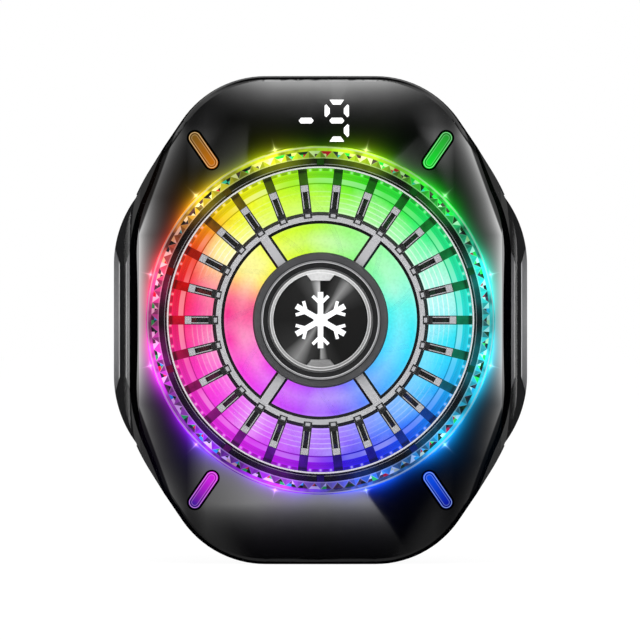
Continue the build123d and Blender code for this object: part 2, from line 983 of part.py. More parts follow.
with BuildPart() as stator_core:
    pole_start = stator_core_outer / 2
    extrude(ring_face(stator_back, stator_core_outer, 0), amount=stator_height)
    extrude(
        pole_faces(stator_back, pole_start, stator_outer - pole_start, stator_pole_width),
        amount=stator_height,
    )
    shoes = pole_faces(
        stator_back,
        stator_outer - stator_shoe,
        stator_shoe,
        stator_shoe_width,
    )
    extrude(shoes, amount=stator_height)
    extrude(ring_face(stator_back, stator_outer, 0), amount=stator_height, mode=Mode.INTERSECT)
    extrude(
        ring_face(stator_back, tower_outer + fit_gap, 0),
        amount=stator_height,
        mode=Mode.SUBTRACT,
    )
finish(stator_core, "stator_core")

with BuildPart() as stator_coils:
    extrude(
        pole_faces(
            stator_back - coil_thickness,
            stator_core_outer + slot_gap,
            pole_length - 2 * slot_gap,
            stator_pole_width + 2 * coil_thickness,
        ),
        amount=stator_height + 2 * coil_thickness,
    )
    extrude(
        pole_faces(
            stator_back - fit_gap,
            stator_core_outer,
            pole_length,
            stator_pole_width + 2 * fit_gap,
        ),
        amount=stator_height + 2 * fit_gap,
        mode=Mode.SUBTRACT,
    )
finish(stator_coils, "stator_coils")

# Impeller: cup, swept vanes and a tie ring, with magnet and shaft inside
vane_root = cup_outer - cup_wall / 2
with BuildSketch(front(vane_back)) as vane:
    with BuildLine() as vane_line:
        sweep_angle = radians(vane_sweep)
        tip = (vane_tip * cos(sweep_angle), vane_tip * sin(sweep_angle))
        bow = vane_tip * vane_bow_share
        middle = (
            (vane_root + tip[0]) / 2 + bow * sin(sweep_angle),
            tip[1] / 2 - bow * cos(sweep_angle),
        )
        ThreePointArc((vane_root, 0), middle, tip)
    trace(line_width=vane_thickness)

with BuildPart(front(0)) as impeller:
    with BuildSketch(front(vane_back)):
        for blade in range(vane_count):
            add(vane.sketch_local.rotate(Axis.Z, 360 * blade / vane_count))
        Circle(vane_tip, mode=Mode.INTERSECT)
    extrude(amount=vane_front - vane_back)
    extrude(ring_face(vane_back, vane_tip, tie_inner), amount=tie_height)
    extrude(ring_face(cup_back, cup_outer, 0), amount=impeller_front - cup_back)
    fillet(impeller.faces().sort_by(Axis.Y)[0].edges(), cup_wall)
    extrude(
        ring_face(cup_back, cup_outer - cup_wall, 0),
        amount=impeller_front - cup_back - cup_roof,
        mode=Mode.SUBTRACT,
    )
    extrude(
        ring_face(impeller_front - cup_roof, shaft_radius, 0),
        amount=cup_roof / 2,
        mode=Mode.SUBTRACT,
    )
finish(impeller, "impeller")

magnet_outer = cup_outer - cup_wall - fit_gap
with BuildPart() as rotor_magnet:
    extrude(
        ring_face(impeller_front - cup_roof - magnet_height, magnet_outer, magnet_outer - magnet_thickness),
        amount=magnet_height,
    )
finish(rotor_magnet, "rotor_magnet")

with BuildPart() as fan_shaft:
    extrude(
        ring_face(sleeve_back + shaft_head + slot_gap, shaft_radius, 0),
        amount=impeller_front - cup_roof / 2 - sleeve_back - shaft_head - slot_gap,
    )
finish(fan_shaft, "fan_shaft")

# Middle housing: walls, floor with the cooler window, bosses, pillars, vents and posts
floor_front = heatsink_depth
slot_low = neck_low - neck_slot_gap
slot_high = neck_high + neck_slot_gap


def recess_face(depth):
    """Strips outside the two side recesses, where the clamp arms stand."""
    width = body_half_width - recess_half_width + overrun
    with BuildSketch(front(depth)) as face:
        with Locations(
            (recess_half_width + width / 2, 0),
            (-recess_half_width - width / 2, 0),
        ):
            Rectangle(width, 2 * recess_half_height)
    return face.sketch


spring_posts = [(right_post_x, right_spring_z), (left_post_x, left_spring_z)]
with BuildPart() as mid_housing:
    extrude(body_outline(front(cover_front), 0), amount=split_depth - cover_front)
    extrude(
        trimmed_outline(front(cover_front), housing_wall, housing_inner_half, body_half_height),
        amount=floor_depth - cover_front,
        mode=Mode.SUBTRACT,
    )
    extrude(
        trimmed_outline(front(floor_front), housing_wall, housing_inner_half, body_half_height),
        amount=split_depth - floor_front,
        mode=Mode.SUBTRACT,
    )
    extrude(recess_face(cover_front), amount=split_depth - cover_front, mode=Mode.SUBTRACT)
    extrude(square_face(floor_depth, floor_window, 0), amount=floor_thickness, mode=Mode.SUBTRACT)
    # bosses for the long screws, pillars for the fan frame, posts of the springs
    extrude(
        discs(cover_front, four_places(boss_x, boss_z), boss_radius),
        amount=split_depth - cover_front,
    )
    extrude(discs(floor_depth, ear_places, frame_ear_radius), amount=frame_plate_depth - floor_depth)
    extrude(
        discs(cover_front + slot_gap, spring_posts, hook_pin_radius),
        amount=floor_depth - cover_front - slot_gap,
    )
    # screw and pin holes
    extrude(
        discs(cover_front, four_places(boss_x, boss_z), screw_shank + slot_gap),
        amount=split_depth - cover_front,
        mode=Mode.SUBTRACT,
    )
    extrude(
        discs(frame_plate_front - screw_bite, ear_places, screw_shank),
        amount=screw_bite,
        mode=Mode.SUBTRACT,
    )
    extrude(
        discs(floor_depth, four_places(plate_screw_x, plate_screw_z), screw_shank + slot_gap),
        amount=floor_thickness,
        mode=Mode.SUBTRACT,
    )
    with BuildSketch(front(floor_depth)):
        with Locations((0, pinion_z)):
            Circle(pin_radius)
    extrude(amount=floor_thickness / 2, mode=Mode.SUBTRACT)
    # slots that let the necks of the slide plates out
    with BuildSketch(front(cover_front)):
        with Locations((0, (slot_low + slot_high) / 2), (0, -(slot_low + slot_high) / 2)):
            Rectangle(2 * (body_half_width + overrun), slot_high - slot_low)
    extrude(amount=floor_depth - cover_front, mode=Mode.SUBTRACT)
    # vents at both ends and on the slanted walls
    vent_middle = (vent_back + vent_front) / 2
    end_vent_reach = body_half_height - end_vent_length
    end_length = end_vent_length + overrun
    side_length = body_half_width - side_vent_reach
    for up in (1, -1):
        for across in (1, -1):
            for x in end_vents:
                with Locations((across * x, -vent_middle, up * (end_vent_reach + end_length / 2))):
                    Box(vent_width, vent_front - vent_back, end_length, mode=Mode.SUBTRACT)
            for index in range(side_vent_count):
                z = body_half_height - side_vent_drop - index * side_vent_pitch
                with Locations((across * (side_vent_reach + side_length / 2), -vent_middle, up * z)):
                    Box(side_length, vent_front - vent_back, vent_width, mode=Mode.SUBTRACT)
    # power socket mouth below, button well above
    with Locations((0, -(socket_back + socket_height / 2), -body_half_height)):
        Box(
            socket_width + 2 * slot_gap,
            socket_height + 2 * slot_gap,
            4 * housing_wall,
            mode=Mode.SUBTRACT,
        )
    with BuildSketch(Plane.XY.offset(body_half_height - housing_wall - overrun)):
        with Locations((0, -button_depth)):
            SlotOverall(button_length + 2 * slot_gap, button_width + 2 * slot_gap)
    extrude(amount=housing_wall + 2 * overrun, mode=Mode.SUBTRACT)
finish(mid_housing, "mid_housing")

# Rear cover with the cold plate window and counterbored screw holes
with BuildPart() as rear_cover:
    extrude(body_outline(front(cover_depth), 0), amount=cover_thickness)
    fillet(rear_cover.faces().sort_by(Axis.Y)[-1].edges(), cover_thickness / 2)
    extrude(recess_face(cover_depth), amount=cover_thickness, mode=Mode.SUBTRACT)
    extrude(
        square_face(cover_depth, cold_plate_size + 2 * window_gap, cold_plate_corner),
        amount=cover_thickness,
        mode=Mode.SUBTRACT,
    )
    extrude(
        discs(cover_depth, four_places(boss_x, boss_z), screw_shank + slot_gap),
        amount=cover_thickness,
        mode=Mode.SUBTRACT,
    )
    extrude(
        discs(cover_depth, four_places(boss_x, boss_z), screw_head + slot_gap),
        amount=screw_head_height,
        mode=Mode.SUBTRACT,
    )
finish(rear_cover, "rear_cover")

with BuildPart() as housing_screws:
    extrude(
        discs(cover_depth, four_places(boss_x, boss_z), screw_head),
        amount=screw_head_height,
    )
    extrude(
        discs(cover_depth, four_places(boss_x, boss_z), screw_shank),
        amount=split_depth + screw_bite - cover_depth,
    )
    with BuildSketch(front(cover_depth)):
        with Locations(*four_places(boss_x, boss_z)):
            RegularPolygon(socket_across / 2, 6)
    extrude(amount=socket_sink, mode=Mode.SUBTRACT)
finish(housing_screws, "housing_screws")

# Heatsink with upright fins, kept inside the housing outline
with BuildPart() as heatsink:
    sink_outline = trimmed_outline(
        front(heatsink_depth),
        housing_wall + clearance,
        heatsink_half_width,
        heatsink_half_height,
    )
    extrude(sink_outline, amount=heatsink_base_thickness)
    with BuildSketch(front(fin_depth)) as fins:
        with GridLocations(fin_pitch, 0, fin_count, 1):
            Rectangle(fin_thickness, 2 * heatsink_half_height)
        add(
            trimmed_outline(
                Plane.XY,
                housing_wall + clearance,
                heatsink_half_width,
                heatsink_half_height,
            ),
            mode=Mode.INTERSECT,
        )
    extrude(amount=fin_height)
    extrude(
        discs(heatsink_depth, four_places(plate_screw_x, plate_screw_z), screw_shank),
        amount=heatsink_base_thickness,
        mode=Mode.SUBTRACT,
    )
finish(heatsink, "heatsink")

# Cooler module: two ceramic plates and the pellets between them
with BuildPart() as peltier_ceramics:
    extrude(square_face(peltier_depth, peltier_size, 0), amount=ceramic_thickness)
    extrude(
        square_face(heatsink_depth - ceramic_thickness, peltier_size, 0),
        amount=ceramic_thickness,
    )
finish(peltier_ceramics, "peltier_ceramics")

with BuildPart() as peltier_pellets:
    with BuildSketch(front(peltier_depth + ceramic_thickness)):
        with GridLocations(pellet_pitch, pellet_pitch, pellet_rows, pellet_rows):
            Rectangle(pellet_size, pellet_size)
    extrude(amount=peltier_thickness - 2 * ceramic_thickness)
finish(peltier_pellets, "peltier_pellets")

with BuildPart() as peltier_gasket:
    extrude(square_face(peltier_depth, gasket_outer, 0), amount=peltier_thickness)
    extrude(
        square_face(peltier_depth, gasket_inner, 0),
        amount=peltier_thickness,
        mode=Mode.SUBTRACT,
    )
finish(peltier_gasket, "peltier_gasket")

# Cold plate, its screws and the contact pad
with BuildPart() as cold_plate:
    extrude(square_face(cold_plate_depth, cold_plate_size, cold_plate_corner), amount=cold_plate_thickness)
    extrude(
        discs(cold_plate_depth, four_places(plate_screw_x, plate_screw_z), screw_shank + slot_gap),
        amount=cold_plate_thickness,
        mode=Mode.SUBTRACT,
    )
    extrude(
        discs(cold_plate_depth, four_places(plate_screw_x, plate_screw_z), screw_head + slot_gap),
        amount=screw_head_height,
        mode=Mode.SUBTRACT,
    )
finish(cold_plate, "cold_plate")

with BuildPart() as cold_plate_screws:
    extrude(
        discs(cold_plate_depth, four_places(plate_screw_x, plate_screw_z), screw_head),
        amount=screw_head_height,
    )
    extrude(
        discs(cold_plate_depth, four_places(plate_screw_x, plate_screw_z), screw_shank),
        amount=heatsink_depth + heatsink_base_thickness - cold_plate_depth,
    )
finish(cold_plate_screws, "cold_plate_screws")

with BuildPart() as contact_pad:
    extrude(square_face(0, pad_size, pad_corner), amount=pad_thickness)
finish(contact_pad, "contact_pad")

with BuildPart() as temperature_sensor:
    with BuildSketch(front(peltier_depth)):
        with Locations((sensor_x, 0)):
            Rectangle(sensor_width, sensor_length)
    extrude(amount=sensor_height)
finish(temperature_sensor, "temperature_sensor")

# Main board with the power socket at the lower edge
with BuildPart() as main_board:
    board_height = main_board_end_distance - housing_wall - clearance
    with BuildSketch(front(socket_back + socket_height)):
        with Locations((0, board_height / 2 + housing_wall + clearance - body_half_height)):
            Rectangle(2 * main_board_half_width, board_height)
    extrude(amount=main_board_thickness)
finish(main_board, "main_board")

socket_mouth = Plane.XY.offset(-body_half_height + slot_gap)
with BuildPart() as usb_socket:
    with BuildSketch(socket_mouth):
        with Locations((0, -(socket_back + socket_height / 2))):
            SlotOverall(socket_width, socket_height)
            offset_inner = 2 * socket_wall
            SlotOverall(socket_width - offset_inner, socket_height - offset_inner, mode=Mode.SUBTRACT)
    extrude(amount=socket_length)
    with BuildSketch(socket_mouth.offset(socket_length - socket_wall)):
        with Locations((0, -(socket_back + socket_height / 2))):
            SlotOverall(socket_width, socket_height)
    extrude(amount=socket_wall)
    with BuildSketch(socket_mouth.offset(socket_length - tongue_length - socket_wall)):
        with Locations((0, -(socket_back + socket_height / 2))):
            Rectangle(tongue_width, tongue_height)
    extrude(amount=tongue_length)
finish(usb_socket, "usb_socket")

# Mode button on top and its switch
button_top = body_half_height - button_sink
with BuildPart() as mode_button:
    with BuildSketch(Plane.XY.offset(body_half_height - housing_wall - fit_gap)):
        with Locations((0, -button_depth)):
            SlotOverall(button_length, button_width)
    extrude(amount=housing_wall + fit_gap - button_sink)
    fillet(mode_button.faces().sort_by(Axis.Z)[-1].edges(), button_sink)
    flange_bottom = body_half_height - housing_wall - clearance / 2 - button_flange_height
    with BuildSketch(Plane.XY.offset(flange_bottom)):
        with Locations((0, -button_depth)):
            SlotOverall(button_length + 2 * button_flange, button_width + 2 * button_flange)
    extrude(amount=button_flange_height)
    with BuildSketch(Plane.XY.offset(flange_bottom)):
        with Locations((0, -button_depth)):
            SlotOverall(button_length, button_width)
    extrude(amount=button_flange_height + overrun / 2)
finish(mode_button, "mode_button")

switch_top = flange_bottom - button_travel - clearance / 3
with BuildPart() as button_switch:
    with Locations((0, -button_depth, switch_top - switch_height / 2)):
        Box(switch_size, switch_size, switch_height)
finish(button_switch, "button_switch")


# Clamp arms
def arm_face(plane, side):
    """Arm outline from the front: flat inside, bowed outside."""
    with BuildSketch(plane) as face:
        with BuildLine():
            outer = Line((side * arm_outer, -arm_straight_half), (side * arm_outer, arm_straight_half))
            TangentArc(outer @ 1, (side * arm_end_x, arm_half_height), tangent=outer % 1)
            TangentArc(outer @ 0, (side * arm_end_x, -arm_half_height), tangent=-(outer % 0))
            Polyline(
                (side * arm_end_x, arm_half_height),
                (side * arm_inner, arm_half_height),
                (side * arm_inner, -arm_half_height),
                (side * arm_end_x, -arm_half_height),
            )
        make_face()
    return face.sketch


def strip_face(plane, side, grow):
    """Outline of the grey strip: pointed ends, straight inside."""
    inner = arm_outer - strip_thickness - grow
    with BuildSketch(plane) as face:
        with BuildLine():
            Polyline(
                (side * inner, -strip_half_height),
                (side * inner, strip_half_height),
                (side * arm_outer, strip_point_half + grow),
                (side * (arm_outer + overrun), strip_point_half + grow),
                (side * (arm_outer + overrun), -strip_point_half - grow),
                (side * arm_outer, -strip_point_half - grow),
                close=True,
            )
        make_face()
    return face.sketch


def foot_face(side, up):
    """Foot of a slide plate or guide plate, held in a pocket of the arm."""
    with BuildSketch(Plane.XY) as face:
        with Locations((side * (arm_inner + foot_depth / 2), up * (neck_high + foot_low) / 2)):
            Rectangle(foot_depth, neck_high - foot_low)
    return face.sketch


def make_arm(side, layer):
    """Clamp arm with jaw lip, pockets for the plate feet and the strip's seat."""
    with BuildPart() as arm:
        extrude(arm_face(front(-jaw_back), side), amount=jaw_back + arm_front)
        with BuildSketch(front(-jaw_back)):
            with Locations((side * (lip_inner + arm_end_x) / 2, 0)):
                Rectangle(arm_end_x - lip_inner, 2 * lip_half_height)
        extrude(amount=lip_thickness)
        for up in (1, -1):
            with BuildSketch(Plane.YZ):
                with BuildLine():
                    Polyline(
                        (jaw_back + overrun, up * lip_half_height),
                        (jaw_back, up * lip_half_height),
                        (arm_taper_start, up * (arm_half_height + overrun / 2)),
                        (arm_taper_start, up * (arm_half_height + overrun)),
                        (jaw_back + overrun, up * (arm_half_height + overrun)),
                        close=True,
                    )
                make_face()
            extrude(amount=arm_outer + overrun, both=True, mode=Mode.SUBTRACT)
        with BuildSketch(front(layer - slot_gap)):
            with Locations(
                (side * arm_inner, (neck_high + foot_low) / 2),
                (side * arm_inner, -(neck_high + foot_low) / 2),
            ):
                Rectangle(2 * (foot_depth + slot_gap), neck_high - foot_low + 2 * slot_gap)
        extrude(amount=plate_thickness + 2 * slot_gap, mode=Mode.SUBTRACT)
        extrude(strip_face(front(-strip_back), side, slot_gap),
                amount=strip_back + arm_front, mode=Mode.SUBTRACT)
    return arm


def make_strip(side):
    """Grey strip let into the outside of the arm, along its front edge."""
    with BuildPart() as strip:
        extrude(arm_face(front(slot_gap - strip_back), side), amount=strip_back + arm_front - slot_gap)
        extrude(strip_face(front(slot_gap - strip_back), side, 0),
                amount=strip_back + arm_front - slot_gap, mode=Mode.INTERSECT)
    return strip


def make_jaw_pad(side):
    """Rubber pad with grooves on the inside of the jaw."""
    pad_back = jaw_back - lip_thickness
    pad_height = pad_back - jaw_pad_front
    middle = side * (arm_inner - jaw_pad_thickness / 2)
    with BuildPart() as pad:
        with BuildSketch(front(-pad_back)):
            with Locations((middle, 0)):
                Rectangle(jaw_pad_thickness, 2 * jaw_pad_half_height)
        extrude(amount=pad_height)
        groove_middle = side * (arm_inner - jaw_pad_thickness)
        with BuildSketch(front(-pad_back)):
            with Locations((groove_middle, 0)):
                with GridLocations(0, jaw_groove_pitch, 1, jaw_groove_count):
                    Rectangle(2 * jaw_groove_depth, jaw_groove_width)
        extrude(amount=pad_height, mode=Mode.SUBTRACT)
    return pad


def rack_points(edge, up, start, end):
    """Tooth line of a rack: teeth stand up from the edge, with a gap at x = 0."""
    slope = sin(radians(pressure_angle)) / cos(radians(pressure_angle))
    half = tooth_pitch / 4 - tooth_backlash / 2
    points = []
    first = int(start / tooth_pitch) - 1
    for index in range(first, int(end / tooth_pitch) + 2):
        middle = (index + 0.5) * tooth_pitch
        low = half + tooth_dedendum * slope
        high = half - tooth_addendum * slope
        if middle - low > start and middle + low < end:
            points += [
                (middle - low, edge - up * tooth_dedendum),
                (middle - high, edge + up * tooth_addendum),
                (middle + high, edge + up * tooth_addendum),
                (middle + low, edge - up * tooth_dedendum),
            ]
    return points


def make_slide_plate(side, layer):
    """Steel plate with a toothed window, a neck through the housing wall and a foot."""
    window_near = pinion_tip + window_margin
    window_far = window_near + arm_travel
    rack_up = 1 if side > 0 else -1
    pitch_line = pinion_z - rack_up * pinion_radius
    rack_edge = pitch_line - rack_up * tooth_dedendum
    free_edge = pinion_z + rack_up * (pinion_tip + window_margin)
    window_low = min(rack_edge, free_edge)
    window_high = max(rack_edge, free_edge)
    left = -window_far if side > 0 else -window_near
    right = window_near if side > 0 else window_far
    neck_length = arm_inner + foot_depth
    with BuildPart() as plate:
        with BuildSketch(front(layer)):
            with Locations(((left + right) / 2, (neck_low + plate_top) / 2)):
                Rectangle(right - left + 2 * plate_rim, plate_top - neck_low)
            with Locations((side * neck_length / 2, (neck_low + neck_high) / 2)):
                Rectangle(neck_length, neck_high - neck_low)
            add(foot_face(side, 1))
            with Locations(((left + right) / 2, (window_low + window_high) / 2)):
                Rectangle(right - left, window_high - window_low, mode=Mode.SUBTRACT)
            teeth = rack_points(pitch_line, rack_up, left, right)
            with BuildLine():
                Polyline(
                    *teeth,
                    (teeth[-1][0], rack_edge - rack_up * plate_rim / 2),
                    (teeth[0][0], rack_edge - rack_up * plate_rim / 2),
                    close=True,
                )
            make_face()
        extrude(amount=plate_thickness)
    return plate


def make_guide_plate(side, layer, hook_x, hook_z):
    """Lower steel plate that guides the arm and carries the pin of the spring."""
    neck_length = arm_inner + foot_depth
    neck_middle = (neck_low + neck_high) / 2
    with BuildPart() as plate:
        with BuildSketch(front(layer)):
            with Locations((side * (neck_length - lower_neck_end) / 2, -neck_middle)):
                Rectangle(neck_length + lower_neck_end, neck_high - neck_low)
            add(foot_face(side, -1))
            with Locations((hook_x, (hook_z - eyelet_radius - neck_low) / 2)):
                Rectangle(2 * hook_half_width, eyelet_radius - hook_z - neck_low)
        extrude(amount=plate_thickness)
        reach = eyelet_thickness + slot_gap
        extrude(
            discs(layer, [(hook_x, hook_z)], hook_pin_radius),
            amount=plate_thickness + reach if side < 0 else -reach,
        )
    return plate


def make_spring(post_x, hook_x, z, layer, side):
    """Closed body of a small tension spring with a flat eyelet at each end."""
    eyelet_back = layer + plate_thickness + slot_gap if side < 0 else layer - slot_gap - eyelet_thickness
    toward = 1 if hook_x > post_x else -1
    body_start = post_x + toward * eyelet_radius
    body_end = hook_x - toward * eyelet_radius
    middle = (body_start + body_end) / 2
    with BuildPart() as spring:
        with BuildSketch(Plane.YZ.offset(min(body_start, body_end) - hook_pin_radius / 2)):
            with Locations((-spring_depth, z)):
                Circle(spring_radius)
        extrude(amount=abs(body_end - body_start) + hook_pin_radius)
        extrude(
            discs(eyelet_back, [(post_x, z), (hook_x, z)], eyelet_radius),
            amount=eyelet_thickness,
        )
        extrude(
            discs(eyelet_back - overrun, [(post_x, z), (hook_x, z)], hook_pin_radius + slot_gap),
            amount=eyelet_thickness + 2 * overrun,
            mode=Mode.SUBTRACT,
        )
    return spring


hooks = {
    "left": (-1, lower_layer, left_hook_x, left_post_x, left_spring_z),
    "right": (1, upper_layer, right_hook_x, right_post_x, right_spring_z),
}
for name, (side, layer, hook_x, post_x, spring_z) in hooks.items():
    finish(make_arm(side, layer), name + "_arm")
    finish(make_strip(side), name + "_side_strip")
    finish(make_jaw_pad(side), name + "_jaw_pad")
    finish(make_slide_plate(side, layer), name + "_slide_plate")
    finish(make_guide_plate(side, layer, hook_x, spring_z), name + "_guide_plate")
    finish(make_spring(post_x, hook_x, spring_z, layer, side), name + "_spring")

# Pinion between the two racks, and its pin
pinion_depth = lower_layer
pinion_height = upper_layer + plate_thickness - lower_layer
with BuildPart() as pinion:
    with BuildSketch(front(pinion_depth)):
        with Locations((0, pinion_z)):
            Circle(pinion_root)
        pitch_half = pi / 2 / pinion_teeth - tooth_backlash / 2 / pinion_radius
        root_half = pitch_half * tooth_root_share
        tip_half = pitch_half * tooth_tip_share
        for tooth in range(pinion_teeth):
            turn = pi / 2 + 2 * pi * tooth / pinion_teeth
            corners = [
                (pinion_root * tooth_bury_share, -root_half),
                (pinion_root, -root_half),
                (pinion_radius, -pitch_half),
                (pinion_tip, -tip_half),
                (pinion_tip, tip_half),
                (pinion_radius, pitch_half),
                (pinion_root, root_half),
                (pinion_root * tooth_bury_share, root_half),
            ]
            with BuildLine():
                Polyline(
                    *[
                        (radius * cos(turn + angle), pinion_z + radius * sin(turn + angle))
                        for radius, angle in corners
                    ],
                    close=True,
                )
            make_face()
        with Locations((0, pinion_z)):
            Circle(pin_radius + fit_gap, mode=Mode.SUBTRACT)
    extrude(amount=pinion_height)
finish(pinion, "pinion")

with BuildPart() as pinion_pin:
    with BuildSketch(front(cover_front + slot_gap)):
        with Locations((0, pinion_z)):
            Circle(pin_radius)
    extrude(amount=floor_depth + floor_thickness / 2 - cover_front - slot_gap)
finish(pinion_pin, "pinion_pin")
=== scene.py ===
import bpy
from math import hypot, pi
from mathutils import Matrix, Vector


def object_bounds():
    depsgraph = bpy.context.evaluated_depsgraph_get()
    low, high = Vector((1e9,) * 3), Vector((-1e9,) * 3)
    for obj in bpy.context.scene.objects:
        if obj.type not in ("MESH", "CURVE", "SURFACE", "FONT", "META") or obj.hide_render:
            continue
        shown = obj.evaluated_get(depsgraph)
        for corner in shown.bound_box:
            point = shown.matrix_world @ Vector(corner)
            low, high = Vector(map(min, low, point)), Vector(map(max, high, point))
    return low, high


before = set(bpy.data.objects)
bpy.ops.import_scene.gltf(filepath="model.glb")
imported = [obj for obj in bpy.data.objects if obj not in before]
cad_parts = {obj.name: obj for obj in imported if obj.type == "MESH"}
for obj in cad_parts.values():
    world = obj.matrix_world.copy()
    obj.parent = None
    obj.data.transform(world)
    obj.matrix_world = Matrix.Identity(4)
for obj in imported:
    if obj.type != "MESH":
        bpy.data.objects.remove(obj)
from types import SimpleNamespace
from mathutils import Vector

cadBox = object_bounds()
mm = 0.001
black, white = (0.0, 0.0, 0.0, 1.0), (1.0, 1.0, 1.0, 1.0)


class Wire:
    # what leaves a node: sums, products and comparisons of wires become math nodes
    def __init__(self, socket):
        self.socket, self.tree = socket, socket.id_data

    def __add__(self, other):
        return calc("ADD", self, other)

    def __sub__(self, other):
        return calc("SUBTRACT", self, other)

    def __rsub__(self, other):
        return calc("SUBTRACT", other, self)

    def __mul__(self, other):
        return calc("MULTIPLY", self, other)

    def __truediv__(self, other):
        return calc("DIVIDE", self, other)

    def __pow__(self, other):
        return calc("POWER", self, other)

    def __lt__(self, other):
        return calc("LESS_THAN", self, other)

    def __gt__(self, other):
        return calc("GREATER_THAN", self, other)

    def __abs__(self):
        return calc("ABSOLUTE", self)


def plug(term, socket):
    # a wire is linked to the socket, anything else is its value
    if isinstance(term, Wire):
        term.tree.links.new(term.socket, socket)
    else:
        socket.default_value = term


def treeOf(*terms):
    return next(term.tree for term in terms if isinstance(term, Wire))


def add(tree, kind, inputs=None, output=0, **settings):
    made = tree.nodes.new("ShaderNode" + kind)
    for key, value in settings.items():
        setattr(made, key, value)
    for key, term in (inputs or {}).items():
        plug(term, made.inputs[key])
    return Wire(made.outputs[output])


def calc(operation, *terms, clamp=False):
    inputs = dict(enumerate(terms))
    return add(treeOf(*terms), "Math", inputs, operation=operation, use_clamp=clamp)


def slope(value, start, end, first=0.0, last=1.0):
    # a straight line from first at start to last at end, level on both sides
    return add(value.tree, "MapRange", {0: value, 1: start, 2: end, 3: first, 4: last})


def band(value, low, high, soft=0.05):
    # 1 between two values, with soft edges
    return slope(value, low - soft, low + soft) * below(value, high, soft)


def below(value, high, soft=0.05):
    # 1 up to a value, with a soft edge
    return slope(value, high - soft, high + soft, 1.0, 0.0)


def paint(text):
    # six hex digits as seen on screen, turned into linear light
    parts = [int(text[i:i + 2], 16) / 255 for i in (0, 2, 4)]
    linear = [p / 12.92 if p <= 0.04045 else ((p + 0.055) / 1.055) ** 2.4 for p in parts]
    return (*linear, 1.0)


def shaded(text, level):
    return tuple(min(1.0, part * level) for part in paint(text)[:3]) + (1.0,)


def mixColor(share, first, second, blend="MIX"):
    inputs = {0: share, 6: first, 7: second}
    return add(treeOf(share, first, second), "Mix", inputs, 2, data_type="RGBA", blend_type=blend)


def dimmed(color, level):
    level = add(level.tree, "CombineXYZ", {0: level, 1: level, 2: level})
    return mixColor(1.0, color, level, "MULTIPLY")


def ramp(value, stops, smooth="LINEAR"):
    # stops are (place, hex colour or plain level) pairs
    made = add(value.tree, "ValToRGB", {0: value})
    colorRamp = made.socket.node.color_ramp
    colorRamp.interpolation = smooth
    marks = colorRamp.elements
    while len(marks) < len(stops):
        marks.new(0.5)
    for mark, (place, tone) in zip(marks, stops):
        mark.position = place
        mark.color = paint(tone) if isinstance(tone, str) else (tone, tone, tone, 1.0)
    return made


def objectPlace(tree):
    return add(tree, "TexCoord", output="Object")


def noise(tree, scale, detail=4.0, rough=0.5, place=None):
    place = place or objectPlace(tree)
    inputs = {"Vector": place, "Scale": scale, "Detail": detail, "Roughness": rough}
    return add(tree, "TexNoise", inputs, "Fac")


def mottle(tree, scale, detail, *span):
    # noise stretched from one span to another
    return slope(noise(tree, scale, detail), *span)


def ringNoise(radius, scale, detail):
    # noise that changes with the radius alone
    inputs = {"W": radius, "Scale": scale, "Detail": detail}
    return add(radius.tree, "TexNoise", inputs, "Fac", noise_dimensions="1D")


def split(vector):
    parts = add(vector.tree, "SeparateXYZ", {0: vector}).socket.node.outputs
    return [Wire(part) for part in parts]


def places(tree):
    # millimetres: across, depth to the front, up, radius about the fan axis; turn clockwise from the top
    x, y, z = split(objectPlace(tree))
    x, depth, z = x / mm, y / -mm, z / mm
    radius = calc("SQRT", x * x + z * z)
    turn = calc("FRACT", calc("ARCTAN2", x, z) / (2 * pi))
    return SimpleNamespace(x=x, depth=depth, z=z, radius=radius, turn=turn)


# short names for the sockets of the main shader
socketNames = {
    "color": "Base Color", "rough": "Roughness", "metal": "Metallic", "ior": "IOR", "clear": "Transmission Weight",
    "spec": "Specular IOR Level", "coat": "Coat Weight", "coatRough": "Coat Roughness", "sheen": "Sheen Weight",
    "glow": "Emission Color", "glowLevel": "Emission Strength",
}


def feed(shader, **terms):
    for key, term in terms.items():
        plug(term, shader.inputs[socketNames[key]])


def newFinish(name, **terms):
    finish = bpy.data.materials.new(name)
    finish.use_nodes = True
    shader = finish.node_tree.nodes["Principled BSDF"]
    feed(shader, **terms)
    return finish, finish.node_tree, shader


def bump(shader, height, strength, depth, normal=None):
    inputs = {"Height": height, "Strength": strength, "Distance": depth * mm}
    if normal:
        inputs["Normal"] = normal
    plug(add(height.tree, "Bump", inputs), shader.inputs["Normal"])


def dress(finish, *nodes):
    for name in nodes:
        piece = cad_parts[name]
        piece.data.materials.clear()
        piece.data.materials.append(finish)


